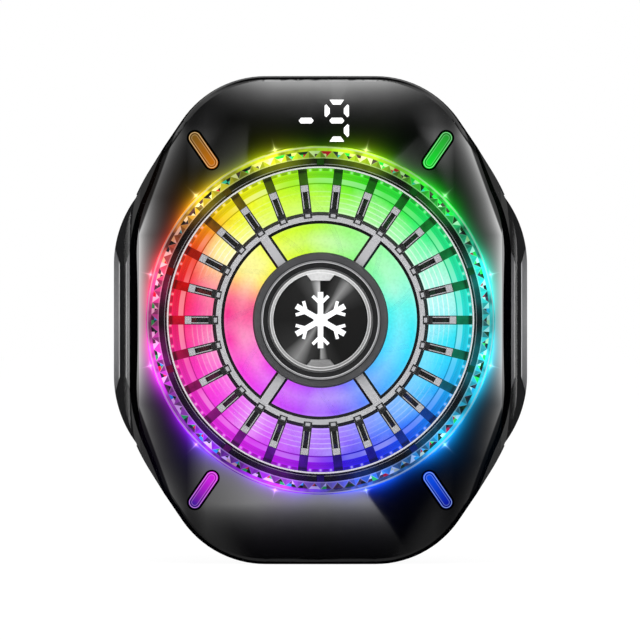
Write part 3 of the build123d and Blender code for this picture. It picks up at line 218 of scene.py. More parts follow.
# the light: lamps evenly round the ring, colours clockwise from twelve o'clock
lampCount = 12
wheels = {
    # at the rim
    "rim": (
        (0.0, "7dee1e"), (0.05, "3ce61e"), (0.11, "1fe84a"), (0.17, "24f092"), (0.235, "2ceee0"), (0.29, "1fd2f8"),
        (0.345, "1c9afb"), (0.395, "1a5cf8"), (0.44, "1c28ee"), (0.475, "3a14ec"), (0.51, "9210f0"), (0.56, "c81cf4"),
        (0.62, "ea2ae8"), (0.68, "f430c0"), (0.73, "fa2480"), (0.765, "fa1e52"), (0.8, "f4242a"), (0.83, "f4481a"),
        (0.855, "f98a0e"), (0.88, "fbd80e"), (0.92, "ecf60e"), (0.96, "b0f20e"), (1.0, "7dee1e"),
    ),
    # at the milky middle
    "milk": (
        (0.0, "aef61e"), (0.05, "76f41e"), (0.11, "4cf45c"), (0.17, "44f8a4"), (0.235, "30f0ee"), (0.3, "28dcfc"),
        (0.36, "3cb0fc"), (0.42, "5c80fa"), (0.47, "8c50f8"), (0.53, "b040f8"), (0.6, "de34f4"), (0.66, "f62cd6"),
        (0.72, "f61ea4"), (0.765, "f42488"), (0.79, "f86488"), (0.815, "fba878"), (0.845, "faea50"), (0.88, "f6f82c"),
        (0.93, "d8f812"), (1.0, "aef61e"),
    ),
    # outside the ring
    "glow": (
        (0.0, "a8e81e"), (0.042, "c8f01e"), (0.1, "3ce62c"), (0.14, "20e850"), (0.2, "24ecd8"), (0.3, "20e0f8"),
        (0.36, "20c0fa"), (0.42, "2088f8"), (0.46, "2a60f6"), (0.5, "5a20f0"), (0.54, "b020f4"), (0.62, "9020f4"),
        (0.68, "d028ec"), (0.72, "f43ad8"), (0.79, "f83a78"), (0.83, "f46a3c"), (0.875, "f4d020"), (0.92, "d8e820"),
        (0.96, "e8f420"), (1.0, "a8e81e"),
    ),
    # in the spoke ends and tabs
    "deep": (
        (0.0, "1e5a0a"), (0.06, "146a0c"), (0.14, "0a7428"), (0.22, "047244"), (0.3, "04705a"), (0.36, "083c8c"),
        (0.44, "141488"), (0.5, "2c0a84"), (0.57, "5a0c84"), (0.65, "8a0e72"), (0.72, "a80c3c"), (0.765, "c8040c"),
        (0.8, "c00606"), (0.835, "961a04"), (0.87, "74500a"), (0.93, "4c5408"), (1.0, "1e5a0a"),
    ),
}


def wheelColor(turn, pale=0.0, kind="rim"):
    color = ramp(turn, wheels[kind])
    return mixColor(pale, color, white) if pale else color


def lampWave(turn, low, high):
    # high at each lamp, low half way between two, as a cosine
    return slope(calc("COSINE", turn * (2 * pi * lampCount)), 1.0, -1.0, low, high)


# plain moulded, metal and turned finishes
mouldedLook = {"patches": (60, 3), "detail": 2, "spread": 0.08, "glossSpread": 0.15, "bump": 0.4}
metalLook = {"detail": (5, 0.6), "shade": 0.82, "glossSpread": 0.25, "bump": (0.3, 0.01)}
turnedLook = {"detail": 4, "bump": 0.35}


def glossAround(rough, height, spread):
    return slope(height, 0.0, 1.0, rough * (1 - spread), rough * (1 + spread))


def mouldedFinish(name, color, rough=0.45, grain=3600, depth=0.02, **more):
    # fine spark-eroded grain, slight patches in colour and gloss
    look = mouldedLook
    finish, tree, shader = newFinish(name, **more)
    fine = noise(tree, grain, look["detail"])
    dark, light = (shaded(color, 1 + side * look["spread"]) for side in (-1, 1))
    patches = mixColor(noise(tree, *look["patches"]), dark, light)
    feed(shader, color=patches, rough=glossAround(rough, fine, look["glossSpread"]))
    bump(shader, fine, look["bump"], depth)
    return finish


def metalFinish(name, color, rough=0.3, stretch=(1, 1, 40), scale=300):
    # brushed along one axis: noise squeezed across it
    look = metalLook
    finish, tree, shader = newFinish(name, metal=1.0)
    squeezed = add(tree, "Mapping", {"Vector": objectPlace(tree), "Scale": stretch})
    lines = noise(tree, scale, *look["detail"], squeezed)
    brushed = mixColor(lines, shaded(color, look["shade"]), paint(color))
    feed(shader, color=brushed, rough=glossAround(rough, lines, look["glossSpread"]))
    bump(shader, lines, *look["bump"])
    return finish


def turnedFinish(name, lines, depth, **more):
    # concentric turning marks about the fan axis
    finish, tree, shader = newFinish(name, **more)
    at = places(tree)
    marks = ringNoise(at.radius, lines, turnedLook["detail"])
    bump(shader, marks, turnedLook["bump"], depth)
    return finish, shader, at, marks


# front shell: gloss black with the ring's light painted on it as a glowing spill, painted glints over the lamps, and
# a painted reflection in grey on the side facets
shellLook = {
    "color": (0.001, 0.001, 0.0012, 1), "gloss": (420, 5, 0.4, 0.8, 0.05, 0.09),
    "grain": (55, 2), "bump": (0.006, 0.02), "spec": 0.5, "coat": 0.6, "coatRough": 0.03,
    # the dome's centre in metres, and how nearly a mesh normal has to agree with it
    "domeCenter": (0.0, 0.0807, 0.0), "domeNear": (0.9975, 0.999),
    # side gloss, in millimetres
    "edge": 27.8, "edgeStraight": 13.0, "edgeLean": -0.36, "edgeReach": 0.95, "edgeLeast": 0.04,
    "edgeFrom": (17.5, 20.5), "edgePast": (0.0, 0.2, 1.0, 0.1),
    # painted light spilt outside the ring, as glow: it falls by e over each reach
    "ringEdge": 26.7, "spillReach": 2 / 3, "farReach": 2.0, "farLevel": 0.06, "spillLevel": 1.2,
    "spillPatches": (90, 2, 0.3, 0.7, 0.55, 1.2), "spillWave": (0.4, 1.3),
    "spillAround": (
        (0.0, 0.35), (0.12, 0.6), (0.25, 1.0), (0.42, 1.0), (0.6, 1.0), (0.75, 1.0), (0.88, 0.7), (1.0, 0.35),
    ),
    "spillPure": 0.7,
    # painted reflection: grey on the side facets
    "crease": (-27.8, 27.8, 0.1), "leftReflection": (-30.8, -29.35), "rightReflection": (29.2, 30.3), "rightPower": 3.0,
    "rightEnd": (30.32, 30.45, 1.0, 0.15), "rightLevel": 1.25, "grey": 0.36,
    # painted glints over the lamps
    "starRadius": 26.95, "starSharp": 2.6, "starLevel": 3.2, "starPale": 0.25,
}


def domeNormal(tree):
    # on the dome the normal is the sphere's own, straight out from its centre
    inputs = {0: objectPlace(tree), 1: shellLook["domeCenter"]}
    outward = add(tree, "VectorMath", inputs, operation="SUBTRACT")
    outward = add(tree, "VectorMath", {0: outward}, operation="NORMALIZE")
    outward = add(tree, "VectorTransform", {0: outward},
                  vector_type="NORMAL", convert_from="OBJECT", convert_to="WORLD")
    meshNormal = add(tree, "NewGeometry", output="Normal")
    agree = add(tree, "VectorMath", {0: outward, 1: meshNormal}, "Value", operation="DOT_PRODUCT")
    near = slope(agree, *shellLook["domeNear"])
    return add(tree, "Mix", {0: near, 4: meshNormal, 5: outward}, 1, data_type="VECTOR")


def sideGloss(at):
    # strongest along the outer edge, falling by e over each reach inward, and nearly gone past the edge
    look = shellLook
    width = abs(at.x)
    beyond = calc("MAXIMUM", abs(at.z) - look["edgeStraight"], 0.0)
    edge = beyond * look["edgeLean"] + look["edge"]
    inward = calc("MAXIMUM", edge - width, 0.0)
    shine = slope(calc("EXPONENT", inward / -look["edgeReach"]), 0.0, 1.0, look["edgeLeast"], 1.0)
    shine = shine * slope(width - edge, *look["edgePast"])
    side = slope(width, *look["edgeFrom"]) * (width < look["edge"])
    return {key: (shine - look[key]) * side + look[key] for key in ("spec", "coat")}


def paintedRingSpill(at):
    # painted light spilt from the ring: fades with distance from the ring, uneven, weaker at the top, strongest at
    # each lamp
    look = shellLook
    away = at.radius - look["ringEdge"]
    near, far = (calc("EXPONENT", away / -look[reach]) for reach in ("spillReach", "farReach"))
    around = ramp(at.turn, look["spillAround"]) * lampWave(at.turn, *look["spillWave"])
    return (near + far * look["farLevel"]) * mottle(at.x.tree, *look["spillPatches"]) * around * look["spillLevel"]


def facetPaintedReflection(at):
    # painted reflection, as grey in the colour: fades outward on the left and inward on the right
    look = shellLook
    left = slope(at.x, *look["leftReflection"])
    left = left * left * (at.x < look["leftReflection"][1])
    right = slope(at.x, *look["rightReflection"]) ** look["rightPower"] * slope(at.x, *look["rightEnd"])
    return (left + right * look["rightLevel"]) * look["grey"]


def paintedLampGlints(at):
    # a painted glint with four points over each lamp: e to the minus square of the sum of two roots
    look = shellLook
    step = calc("FRACT", at.turn * lampCount) - 0.5
    along = abs(step * (2 * pi * look["starRadius"] / lampCount))
    across = abs(at.radius - look["starRadius"])
    arms = calc("SQRT", along) + calc("SQRT", across)
    return calc("EXPONENT", arms * arms * -look["starSharp"]) * look["starLevel"]


def shellFinish():
    look = shellLook
    finish, tree, shader = newFinish("shellBlack", coatRough=look["coatRough"], glowLevel=1.0)
    at = places(tree)
    facing = band(at.x, *look["crease"])
    spilt = wheelColor(at.turn, kind="glow")
    spilt = mixColor(look["spillPure"], spilt, mixColor(1.0, spilt, spilt, "MULTIPLY"))
    # the ring's light painted on the shell as glow
    spilt = dimmed(spilt, paintedRingSpill(at) * facing)
    # painted glints over the lamps, as glow
    paintedGlints = dimmed(wheelColor(at.turn, look["starPale"], "glow"), paintedLampGlints(at) * facing)
    # the side facets' painted reflection goes into the colour
    feed(shader, color=mixColor(facetPaintedReflection(at), look["color"], white), rough=mottle(tree, *look["gloss"]),
         glow=mixColor(1.0, spilt, paintedGlints, "ADD"), **sideGloss(at))
    bump(shader, noise(tree, *look["grain"]), *look["bump"], domeNormal(tree))
    return finish


dress(shellFinish(), "front_shell")
print("front shell dressed")


# clear ring with prisms: a tinted ground, small gems that catch other colours
crystalLook = {
    "color": (0.01, 0.01, 0.012, 1), "rough": 0.08, "ior": 1.3, "spec": 0.2,
    "prisms": (24.95, 25.9), "count": 90, "tip": 0.55, "gemPure": 0.68, "ground": (0.25, 0.6), "wave": (0.7, 1.9),
    "gems": (
        (0.0, "141816"), (0.08, "e02040"), (0.15, "f8fffc"), (0.26, "184020"), (0.36, "30e060"), (0.46, "584050"),
        (0.56, "ffffff"), (0.7, "20343c"), (0.78, "38c8f0"), (0.84, "503048"), (0.92, "f8f0c0"),
    ),
    "edgeSharp": 8.0, "edgeShare": 0.3, "edgePale": 0.2,
    "slope": (25.9, 27.5, 0.04), "slopeStreaks": (330, 3, 0.35, 0.65, 0.2, 1.6), "slopeLevel": 0.7,
    "outerLine": (26.36, 26.6, 0.03), "outerShare": 0.8, "innerLine": (24.84, 24.94, 0.03), "innerShare": 0.55,
    "linePale": 0.35, "lineWave": (0.6, 1.0), "grain": (700, 2), "bump": (0.1, 0.03),
    # far apart, so that no two facets draw the same number
    "tipDraw": 400.5, "groundDraw": 900.5,
}


def randomOf(number):
    return add(number.tree, "TexWhiteNoise", {"W": number}, "Value", noise_dimensions="1D")


def crystalFinish():
    look = crystalLook
    sockets = {key: look[key] for key in ("color", "rough", "ior", "spec")}
    finish, tree, shader = newFinish("crystal", glowLevel=1.0, **sockets)
    at = places(tree)
    pure = wheelColor(at.turn, kind="glow")
    wave = lampWave(at.turn, *look["wave"])
    # a triangle in each cell, its tip outward; it shows two facets, and each facet its own colours
    cell = at.turn * look["count"]
    inCell = calc("FRACT", cell)
    height = slope(at.radius, *look["prisms"])
    inward = height - abs(inCell - 0.5) * 2.0
    number = calc("FLOOR", cell) * 2.0 + (inCell > 0.5)
    gem = ramp(randomOf(number + (height > look["tip"]) * look["tipDraw"]), look["gems"], "CONSTANT")
    gem = mixColor(look["gemPure"], gem, mixColor(1.0, pure, gem, "MULTIPLY"))
    least, level = look["ground"]
    ground = dimmed(pure, (randomOf(number + look["groundDraw"]) + least) * level)
    body = dimmed(mixColor(inward > 0.0, ground, gem), wave)
    edge = calc("SUBTRACT", 1.0, abs(inward) * look["edgeSharp"], clamp=True)
    body = mixColor(edge * look["edgeShare"], body, dimmed(wheelColor(at.turn, look["edgePale"], "glow"), wave))
    # outside the prisms: a tinted slope with streaks, then the bright outer line
    sloping = dimmed(pure, mottle(tree, *look["slopeStreaks"]) * wave * look["slopeLevel"])
    whole = mixColor(band(at.radius, *look["slope"]), body, sloping)
    outer, inner = (band(at.radius, *look[key + "Line"]) * look[key + "Share"] for key in ("outer", "inner"))
    line = dimmed(wheelColor(at.turn, look["linePale"], "glow"), lampWave(at.turn, *look["lineWave"]))
    feed(shader, glow=mixColor(calc("ADD", outer, inner, clamp=True), whole, line))
    bump(shader, noise(tree, *look["grain"]), *look["bump"])
    return finish


dress(crystalFinish(), "crystal_ring")


# dark ring, its tabs, the spokes' outer ends
tabLook = {
    "color": (0.004, 0.004, 0.004, 1), "rough": 0.25, "spec": 0.15, "patches": (500, 4, 0.3, 0.7), "spread": 0.4,
    "dark": (22.75, 23.1, 0.25), "darkColor": (0.002, 0.003, 0.002, 1), "grain": (1500, 2), "bump": (0.2, 0.01),
    "tabLevel": 0.45, "tipLevel": 0.9,
}
trimLook = {
    "rough": 0.25, "spec": 0.3, "dark": "050506", "light": "141416",
    # a thin light-grey line at the inner edge: a painted highlight
    "line": (23.88, 23.96, 0.02), "highlightColor": "8c8c90",
    "wave": (0.01, 0.16), "patches": (260, 3, 0.35, 0.65, 0.3, 1.3), "grain": (1400, 3), "bump": (0.2, 0.01),
}


def tabFinish(name, level):
    look = tabLook
    sockets = {key: look[key] for key in ("color", "rough", "spec")}
    finish, tree, shader = newFinish(name, glowLevel=1.0, **sockets)
    at = places(tree)
    patches = mottle(tree, *look["patches"], level * (1 - look["spread"]), level * (1 + look["spread"]))
    tinted = dimmed(wheelColor(at.turn, kind="deep"), patches)
    # the spoke ends turn black where they meet the rim
    feed(shader, glow=mixColor(band(at.radius, *look["dark"]), tinted, look["darkColor"]))
    bump(shader, noise(tree, *look["grain"]), *look["bump"])
    return finish


def trimFinish():
    look = trimLook
    finish, tree, shader = newFinish("trimBlack", rough=look["rough"], spec=look["spec"], glowLevel=1.0)
    at = places(tree)
    fine = noise(tree, *look["grain"])
    base = mixColor(fine, paint(look["dark"]), paint(look["light"]))
    # the painted highlight line along the inner edge
    base = mixColor(band(at.radius, *look["line"]), base, paint(look["highlightColor"]))
    level = lampWave(at.turn, *look["wave"]) * mottle(tree, *look["patches"])
    feed(shader, color=base, glow=dimmed(wheelColor(at.turn, kind="glow"), level))
    bump(shader, fine, *look["bump"])
    return finish


dress(trimFinish(), "trim_ring")
dress(tabFinish("tabTint", tabLook["tabLevel"]), "trim_tabs")
dress(tabFinish("tipTint", tabLook["tipLevel"]), "spoke_tips")

# bright rim
rimLook = {
    "color": (0.42, 0.42, 0.43, 1), "rough": 0.15, "glowLevel": 0.32, "pale": 0.7, "grain": (900, 2),
    "bump": (0.1, 0.01),
}


def rimFinish():
    look = rimLook
    sockets = {key: look[key] for key in ("color", "rough", "glowLevel")}
    finish, tree, shader = newFinish("rimWhite", **sockets)
    feed(shader, glow=wheelColor(places(tree).turn, look["pale"]))
    bump(shader, noise(tree, *look["grain"]), *look["bump"])
    return finish


dress(rimFinish(), "rim_ring")

# grille: grey tops; dark flanks, dark edges and dark slot floors as painted shade, the slot floors with a painted
# tint of the ring's light; pale walls beside the slots as painted light
grilleLook = {
    "spokes": 26, "top": "bcbcbf", "flankShade": "161618", "litWall": "b4b4b8", "pitShade": "141616",
    "rough": 0.38, "coat": 0.15, "frontFacing": (0.8, 0.95),
    # along a spoke, by radius
    "spoke": (16.5, 22.0, 0.04), "row": (17.2, 19.8, 0.03), "block": (19.8, 20.8, 0.03),
    "outerRing": (22.9, 25.0, 0.05),
    "square": (15.6, 16.5, 0.03), "squareFace": (15.87, 16.34, 0.03), "squareDepth": (24.52, 25.0, 0.01),
    # across a spoke, from its middle line
    "hollow": (0.36, 0.03), "wallWidth": (0.36, 0.5, 0.03), "face": (0.56, 0.04),
    "pitLightTint": (420, 3, 0.48, 0.66, 0.0, 0.5), "patches": (140, 3), "patchShare": 0.25,
    "grain": (3200, 2), "bump": (0.25, 0.01),
}


def grilleFinish():
    look = grilleLook
    finish, tree, shader = newFinish("grillePlastic", rough=look["rough"], coat=look["coat"])
    at = places(tree)
    normal = split(add(tree, "TexCoord", output="Normal"))
    # surfaces that don't face the front take the dark of painted shade
    facing = slope(normal[1] * -1.0, *look["frontFacing"])
    # distance from the spoke's middle line: one spoke at three o'clock
    step = calc("FRACT", at.turn * look["spokes"]) - 0.5
    beside = abs(step * at.radius * (2 * pi) / look["spokes"])
    dark, pale, grey, pitShade = (paint(look[key]) for key in ("flankShade", "litWall", "top", "pitShade"))
    # the hollows' painted shade takes a painted tint of the ring's light
    pitShade = mixColor(mottle(tree, *look["pitLightTint"]), pitShade, wheelColor(at.turn, kind="deep"))
    hollow = below(beside, *look["hollow"])
    # a row: hollow in painted shade, pale walls of painted light, dark outer edges of painted shade; a block and a
    # square: pale with dark edges of painted shade
    row = mixColor(band(beside, *look["wallWidth"]), mixColor(hollow, dark, pitShade), pale)
    block = mixColor(below(beside, *look["face"]), dark, pale)
    square = mixColor(hollow * band(at.radius, *look["squareFace"]), dark, pale)
    top = mixColor(band(at.radius, *look["spoke"]), grey, dark)
    top = mixColor(band(at.radius, *look["row"]), top, row)
    top = mixColor(band(at.radius, *look["block"]), top, block)
    top = mixColor(band(at.depth, *look["squareDepth"]) * band(at.radius, *look["square"]), top, square)
    # the outer ring in the same painted shade and tint
    top = mixColor(band(at.radius, *look["outerRing"]), top, pitShade)
    top = mixColor(noise(tree, *look["patches"]) * look["patchShare"], top, dark)
    feed(shader, color=mixColor(facing, dark, top))
    bump(shader, noise(tree, *look["grain"]), *look["bump"])
    return finish


dress(grilleFinish(), "front_grille")

# light guide ring and diffuser disc: where the rainbow light comes out
guideLook = {
    "color": (0.01, 0.01, 0.01, 1), "rough": 0.3, "spec": 0.15, "pale": 0.22, "deep": 0.45,
    "paleBand": (21.1, 21.85, 0.04), "patches": (120, 2, 0.35, 0.6, 0.1, 1.0),
    "streakBand": (21.95, 22.7, 0.05), "streaks": (3.0, 3.0), "innerBand": (20.8, 21.06, 0.04),
    "teeth": 90, "toothBand": (22.9, 23.26, 0.04), "tooth": (0.2, 0.8, 0.06), "toothShare": 0.5,
    "toothColor": (0.01, 0.012, 0.01, 1), "tick": (0.1, 0.9, 0.05), "tickShare": 0.3, "tickPale": 0.8,
    "grain": (800, 3), "bump": (0.15, 0.02),
}
diffuserLook = {
    "color": (0.01, 0.01, 0.01, 1), "rough": 0.4, "spec": 0.15, "glowLevel": 1.05, "reach": (8.0, 24.0),
    "whiteness": (
        (0.0, 0.0), (0.14, 0.02), (0.27, 0.14), (0.4, 0.02), (0.5, 0.16), (0.6, 0.14), (0.7, 0.04), (0.85, 0.0),
    ),
    "clouds": (70, 2, 0.48, 0.72, 0.0, 0.38),
    "arcs": (16.8, 17.5, 18.3, 19.05, 19.8), "arcWidth": 0.13, "arcSoft": 0.05,
    "arcFade": (70, 1, 0.4, 0.65, 0.0, 0.4), "swirl": (55, 2), "swirlTurn": 0.05, "milkEnd": (19.0, 21.5),
    "dust": (2500, 2, 0.3, 0.7, 0.93, 1.05), "grain": (300, 3), "bump": (0.2, 0.03),
}


def guideFinish():
    look = guideLook
    sockets = {key: look[key] for key in ("color", "rough", "spec")}
    finish, tree, shader = newFinish("guideMilk", glowLevel=1.0, **sockets)
    at = places(tree)
    pure = wheelColor(at.turn)
    deepTone = mixColor(look["deep"], pure, black)
    tooth = calc("FRACT", at.turn * look["teeth"])
    toothBand = band(at.radius, *look["toothBand"])
    layers = (
        (band(at.radius, *look["paleBand"]) * mottle(tree, *look["patches"]), wheelColor(at.turn, look["pale"])),
        (band(at.radius, *look["streakBand"]) * ringNoise(at.radius, *look["streaks"]), deepTone),
        (band(at.radius, *look["innerBand"]), deepTone),
        (band(tooth, *look["tooth"]) * toothBand * look["toothShare"], look["toothColor"]),
        ((1.0 - band(tooth, *look["tick"])) * toothBand * look["tickShare"], wheelColor(at.turn, look["tickPale"])),
    )
    color = pure
    for share, tone in layers:
        color = mixColor(share, color, tone)
    feed(shader, glow=color)
    bump(shader, noise(tree, *look["grain"]), *look["bump"])
    return finish


def diffuserFinish():
    look = diffuserLook
    sockets = {key: look[key] for key in ("color", "rough", "spec", "glowLevel")}
    finish, tree, shader = newFinish("diffuserMilk", **sockets)
    at = places(tree)
    # whiteness by radius, then cloudy patches, then thin pale arcs
    whiteness = ramp(slope(at.radius, *look["reach"]), look["whiteness"]) + mottle(tree, *look["clouds"])
    arcs = [band(at.radius, start, start + look["arcWidth"], look["arcSoft"]) for start in look["arcs"]]
    arcs = sum(arcs[1:], arcs[0]) * mottle(tree, *look["arcFade"])
    swirl = calc("FRACT", at.turn + (noise(tree, *look["swirl"]) - 0.5) * look["swirlTurn"])
    pure = mixColor(slope(at.radius, *look["milkEnd"]), wheelColor(swirl, kind="milk"), wheelColor(at.turn))
    color = mixColor(calc("ADD", whiteness, arcs, clamp=True), pure, white)
    feed(shader, glow=dimmed(color, mottle(tree, *look["dust"])))
    bump(shader, noise(tree, *look["grain"]), *look["bump"])
    return finish


dress(guideFinish(), "light_guide")
dress(diffuserFinish(), "light_diffuser")
print("rings and light dressed")

# fan: clear blades
bladeLook = {
    "color": (0.96, 0.97, 1.0, 1), "ior": 1.12, "gloss": (0.03, 0.1), "grain": (400, 2), "bump": (0.05, 0.01),
}


def bladeFinish():
    look = bladeLook
    finish, tree, shader = newFinish("bladeClear", color=look["color"], ior=look["ior"], clear=1.0)
    fine = noise(tree, *look["grain"])
    feed(shader, rough=slope(fine, 0.0, 1.0, *look["gloss"]))
    bump(shader, fine, *look["bump"])
    return finish


dress(bladeFinish(), "impeller")

# hub: dark bezel with thin rings, the light ones painted highlights; spun disc with painted highlight cones; silver
# ring lighter at the top as painted light, with painted highlight rims; white symbol with a faint painted glow
bezelLook = {
    "rough": 0.4, "metal": 0.2, "lines": 9.0, "depth": 0.02, "worn": (240, 5, 0.6),
    "dark": "303032", "light": "5c5c5e",
    # thin rings by radius and colour: the light ones are painted highlights on the ridges
    "rings": (
        (7.9, 8.05, "b0b0b2"), (8.05, 8.8, "161618"), (8.82, 8.92, "e8e8ea"), (8.92, 9.14, "8e8e90"),
        (9.14, 9.3, "29292b"),
    ),
    "ringSoft": 0.03, "markShare": 0.3, "markColor": (0.02, 0.02, 0.02, 1),
}
discLook = {
    "rough": 0.35, "spec": 0.15, "lines": 14.0, "depth": 0.015, "glowLevel": 0.3, "markShare": 0.5, "markShade": 0.5,
    # painted highlight cones, with one sharp side at twelve and six, softer ones at one and seven; they colour the
    # disc and make it glow
    "highlightCones": (
        (0.0, 0.004), (0.03, 0.006), (0.07, 0.03), (0.1, 0.22), (0.135, 0.03), (0.2, 0.008), (0.42, 0.006),
        (0.47, 0.02), (0.499, 0.3), (0.502, 0.01), (0.55, 0.03), (0.59, 0.2), (0.64, 0.02), (0.75, 0.008),
        (0.9, 0.012), (0.96, 0.05), (0.999, 0.5), (1.0, 0.004),
    ),
}
silverLook = {
    "rough": 0.35, "metal": 0.15, "lines": 16.0, "depth": 0.01,
    "grain": (2200, 2), "grainShare": 0.35, "grainColor": (0.12, 0.12, 0.12, 1),
    # painted light and shade by turn: lighter at the top, darker at the bottom
    "tones": (
        (0.0, 0.85), (0.1, 0.62), (0.25, 0.36), (0.4, 0.3), (0.5, 0.26), (0.62, 0.4), (0.8, 0.5), (0.9, 0.7),
        (1.0, 0.85),
    ),
    "outside": (7.72, 9.0, 0.08), "outsideColor": (0.1, 0.1, 0.1, 1),
    # thin white rims: painted highlights
    "highlightRims": ((7.62, 7.74, 0.02), (7.2, 7.34, 0.02)), "rimShare": 0.6, "rimHighlightColor": (0.95, 0.95, 0.95, 1),
}
symbolLook = {
    "rough": 0.4, "dark": "dcdee2", "light": "ffffff", "glowLevel": 0.25, "grain": (2600, 3), "bump": (0.2, 0.01),
}


def bezelFinish():
    look = bezelLook
    sockets = {key: look[key] for key in ("rough", "metal")}
    finish, shader, at, marks = turnedFinish("bezelDark", look["lines"], look["depth"], **sockets)
    base = mixColor(noise(marks.tree, *look["worn"]), paint(look["dark"]), paint(look["light"]))
    # the painted highlight rings, with the dark rings between
    for low, high, tone in look["rings"]:
        base = mixColor(band(at.radius, low, high, look["ringSoft"]), base, paint(tone))
    feed(shader, color=mixColor(marks * look["markShare"], base, look["markColor"]))
    return finish


def discFinish():
    look = discLook
    sockets = {key: look[key] for key in ("rough", "spec", "glowLevel")}
    finish, shader, at, marks = turnedFinish("discSpun", look["lines"], look["depth"], **sockets)
    # painted highlight cones, darkened along the turning marks, in the colour and the glow
    highlightCones = ramp(at.turn, look["highlightCones"])
    spunHighlights = mixColor(marks * look["markShare"], highlightCones, mixColor(look["markShade"], highlightCones, black))
    feed(shader, color=spunHighlights, glow=spunHighlights)
    return finish


def silverFinish():
    look = silverLook
    sockets = {key: look[key] for key in ("rough", "metal")}
    finish, shader, at, marks = turnedFinish("ringSilver", look["lines"], look["depth"], **sockets)
    share = noise(marks.tree, *look["grain"]) * look["grainShare"]
    # the painted light and shade by turn
    base = mixColor(share, ramp(at.turn, look["tones"]), look["grainColor"])
    base = mixColor(band(at.radius, *look["outside"]), base, look["outsideColor"])
    # painted highlights on the rims
    first, second = (band(at.radius, *rim) for rim in look["highlightRims"])
    feed(shader, color=mixColor((first + second) * look["rimShare"], base, look["rimHighlightColor"]))
    return finish


def symbolFinish():
    look = symbolLook
    # a faint white painted glow on the symbol
    finish, tree, shader = newFinish("symbolWhite", rough=look["rough"], glow=white, glowLevel=look["glowLevel"])
    fine = noise(tree, *look["grain"])
    feed(shader, color=mixColor(fine, paint(look["dark"]), paint(look["light"])))
    bump(shader, fine, *look["bump"])
    return finish


dress(bezelFinish(), "hub_bezel")
dress(discFinish(), "medallion_disc")
dress(silverFinish(), "medallion_ring")
dress(symbolFinish(), "hub_emblem")
print("hub dressed")

# corner light bars: lit lens, another shade at each end, a painted highlight line inside, bright rim; inner is the
# end nearer the fan
barLook = {
    "color": (0.002, 0.002, 0.002, 1), "rough": 0.12, "spec": 0.08,
    "at": (17.98, 26.05), "halfLength": 2.6, "straight": 2.3,
    "clouds": (520, 4), "cloudShare": 0.25, "bump": (0.15, 0.03), "blackBack": (20.0, 23.5, 0.3),
    # lines round the lens, by distance from its middle line; the inner line is a painted highlight
    "innerLine": (0.44, 0.5, 0.04), "innerShare": 0.4, "darkLine": (0.56, 0.72, 0.05), "darkShade": 0.5,
    "outerLine": (0.78, 0.86, 0.03), "outerShare": 0.75,
}
barColors = {
    "light_bar_top_left": {"side": (-1, 1), "outer": "80590e", "inner": "cc7408", "rim": "ffd9a0"},
    "light_bar_top_right": {"side": (1, 1), "outer": "0ca020", "inner": "0cec32", "rim": "a6ffb4"},
    "light_bar_bottom_left": {"side": (-1, -1), "outer": "3a069c", "inner": "e00cf0", "rim": "f6a8ff"},
    "light_bar_bottom_right": {"side": (1, -1), "outer": "0418a8", "inner": "0a54f4", "rim": "a8c8ff"},
}


def barFinish(name, colors):
    look = barLook
    sockets = {key: look[key] for key in ("color", "rough", "spec")}
    finish, tree, shader = newFinish(name + "Lens", glowLevel=1.0, **sockets)
    at = places(tree)
    atX, atZ = (side * place for side, place in zip(colors["side"], look["at"]))
    outX, outZ = atX / hypot(atX, atZ), atZ / hypot(atX, atZ)
    dx, dz = at.x - atX, at.z - atZ
    along, across = dx * outX + dz * outZ, dx * outZ - dz * outX
    # distance from the middle line, round at both ends
    past = calc("MAXIMUM", abs(along) - look["straight"], 0.0)
    off = calc("SQRT", past * past + across * across)
    share = slope(along, -look["halfLength"], look["halfLength"])
    body = mixColor(share, paint(colors["inner"]), paint(colors["outer"]))
    clouds = noise(tree, *look["clouds"])
    body = mixColor(clouds * look["cloudShare"], body, black)
    # the painted highlight line inside the lens
    body = mixColor(band(off, *look["innerLine"]) * look["innerShare"], body, paint(colors["rim"]))
    body = mixColor(band(off, *look["darkLine"]), body, mixColor(look["darkShade"], body, black))
    body = mixColor(band(off, *look["outerLine"]) * look["outerShare"], body, paint(colors["rim"]))
    feed(shader, glow=mixColor(band(at.depth, *look["blackBack"]), body, black))
    bump(shader, clouds, *look["bump"])
    return finish


for name, colors in barColors.items():
    dress(barFinish(name, colors), name)

# digits: lit segments, and unlit ones under the dome's skin
digitLook = {"rough": 0.12, "grain": (900, 3), "bump": (0.05, 0.01)}
digitLit = {"color": (0.5, 0.5, 0.5, 1), "levels": (0.94, 1.0)}
digitDark = {"color": (0.006, 0.006, 0.007, 1), "levels": (0.0, 0.004)}


def digitFinish(name, kind):
    look = digitLook
    finish, tree, shader = newFinish(name, color=kind["color"], rough=look["rough"], glowLevel=1.0)
    fine = noise(tree, *look["grain"])
    feed(shader, glow=slope(fine, 0.0, 1.0, *kind["levels"]))
    bump(shader, fine, *look["bump"])
    return finish


dress(digitFinish("segmentWhite", digitLit), "display_segments_lit")
dress(digitFinish("segmentDark", digitDark), "display_segments_dark")
# moulded pieces: colour, roughness, scale of the grain and its depth in millimetres
dress(mouldedFinish("moduleBlack", "1a1a1c", 0.5), "display_module", "button_switch", "temperature_sensor")

# arms, strips, housing
stripLook = {
    "rough": 0.42, "fade": (0.0, 12.0), "tones": ((0.0, "8c8c8e"), (0.6, "78787a"), (1.0, "4c4c4e")),
    "grain": (2400, 2), "grainShare": 0.3, "grainColor": "5a5a5c", "bump": (0.3, 0.01),
    # a painted highlight line along the inner edge
    "line": (31.0, 31.16, 0.02), "highlightShare": 0.8, "highlightColor": "f0f0f0",
}


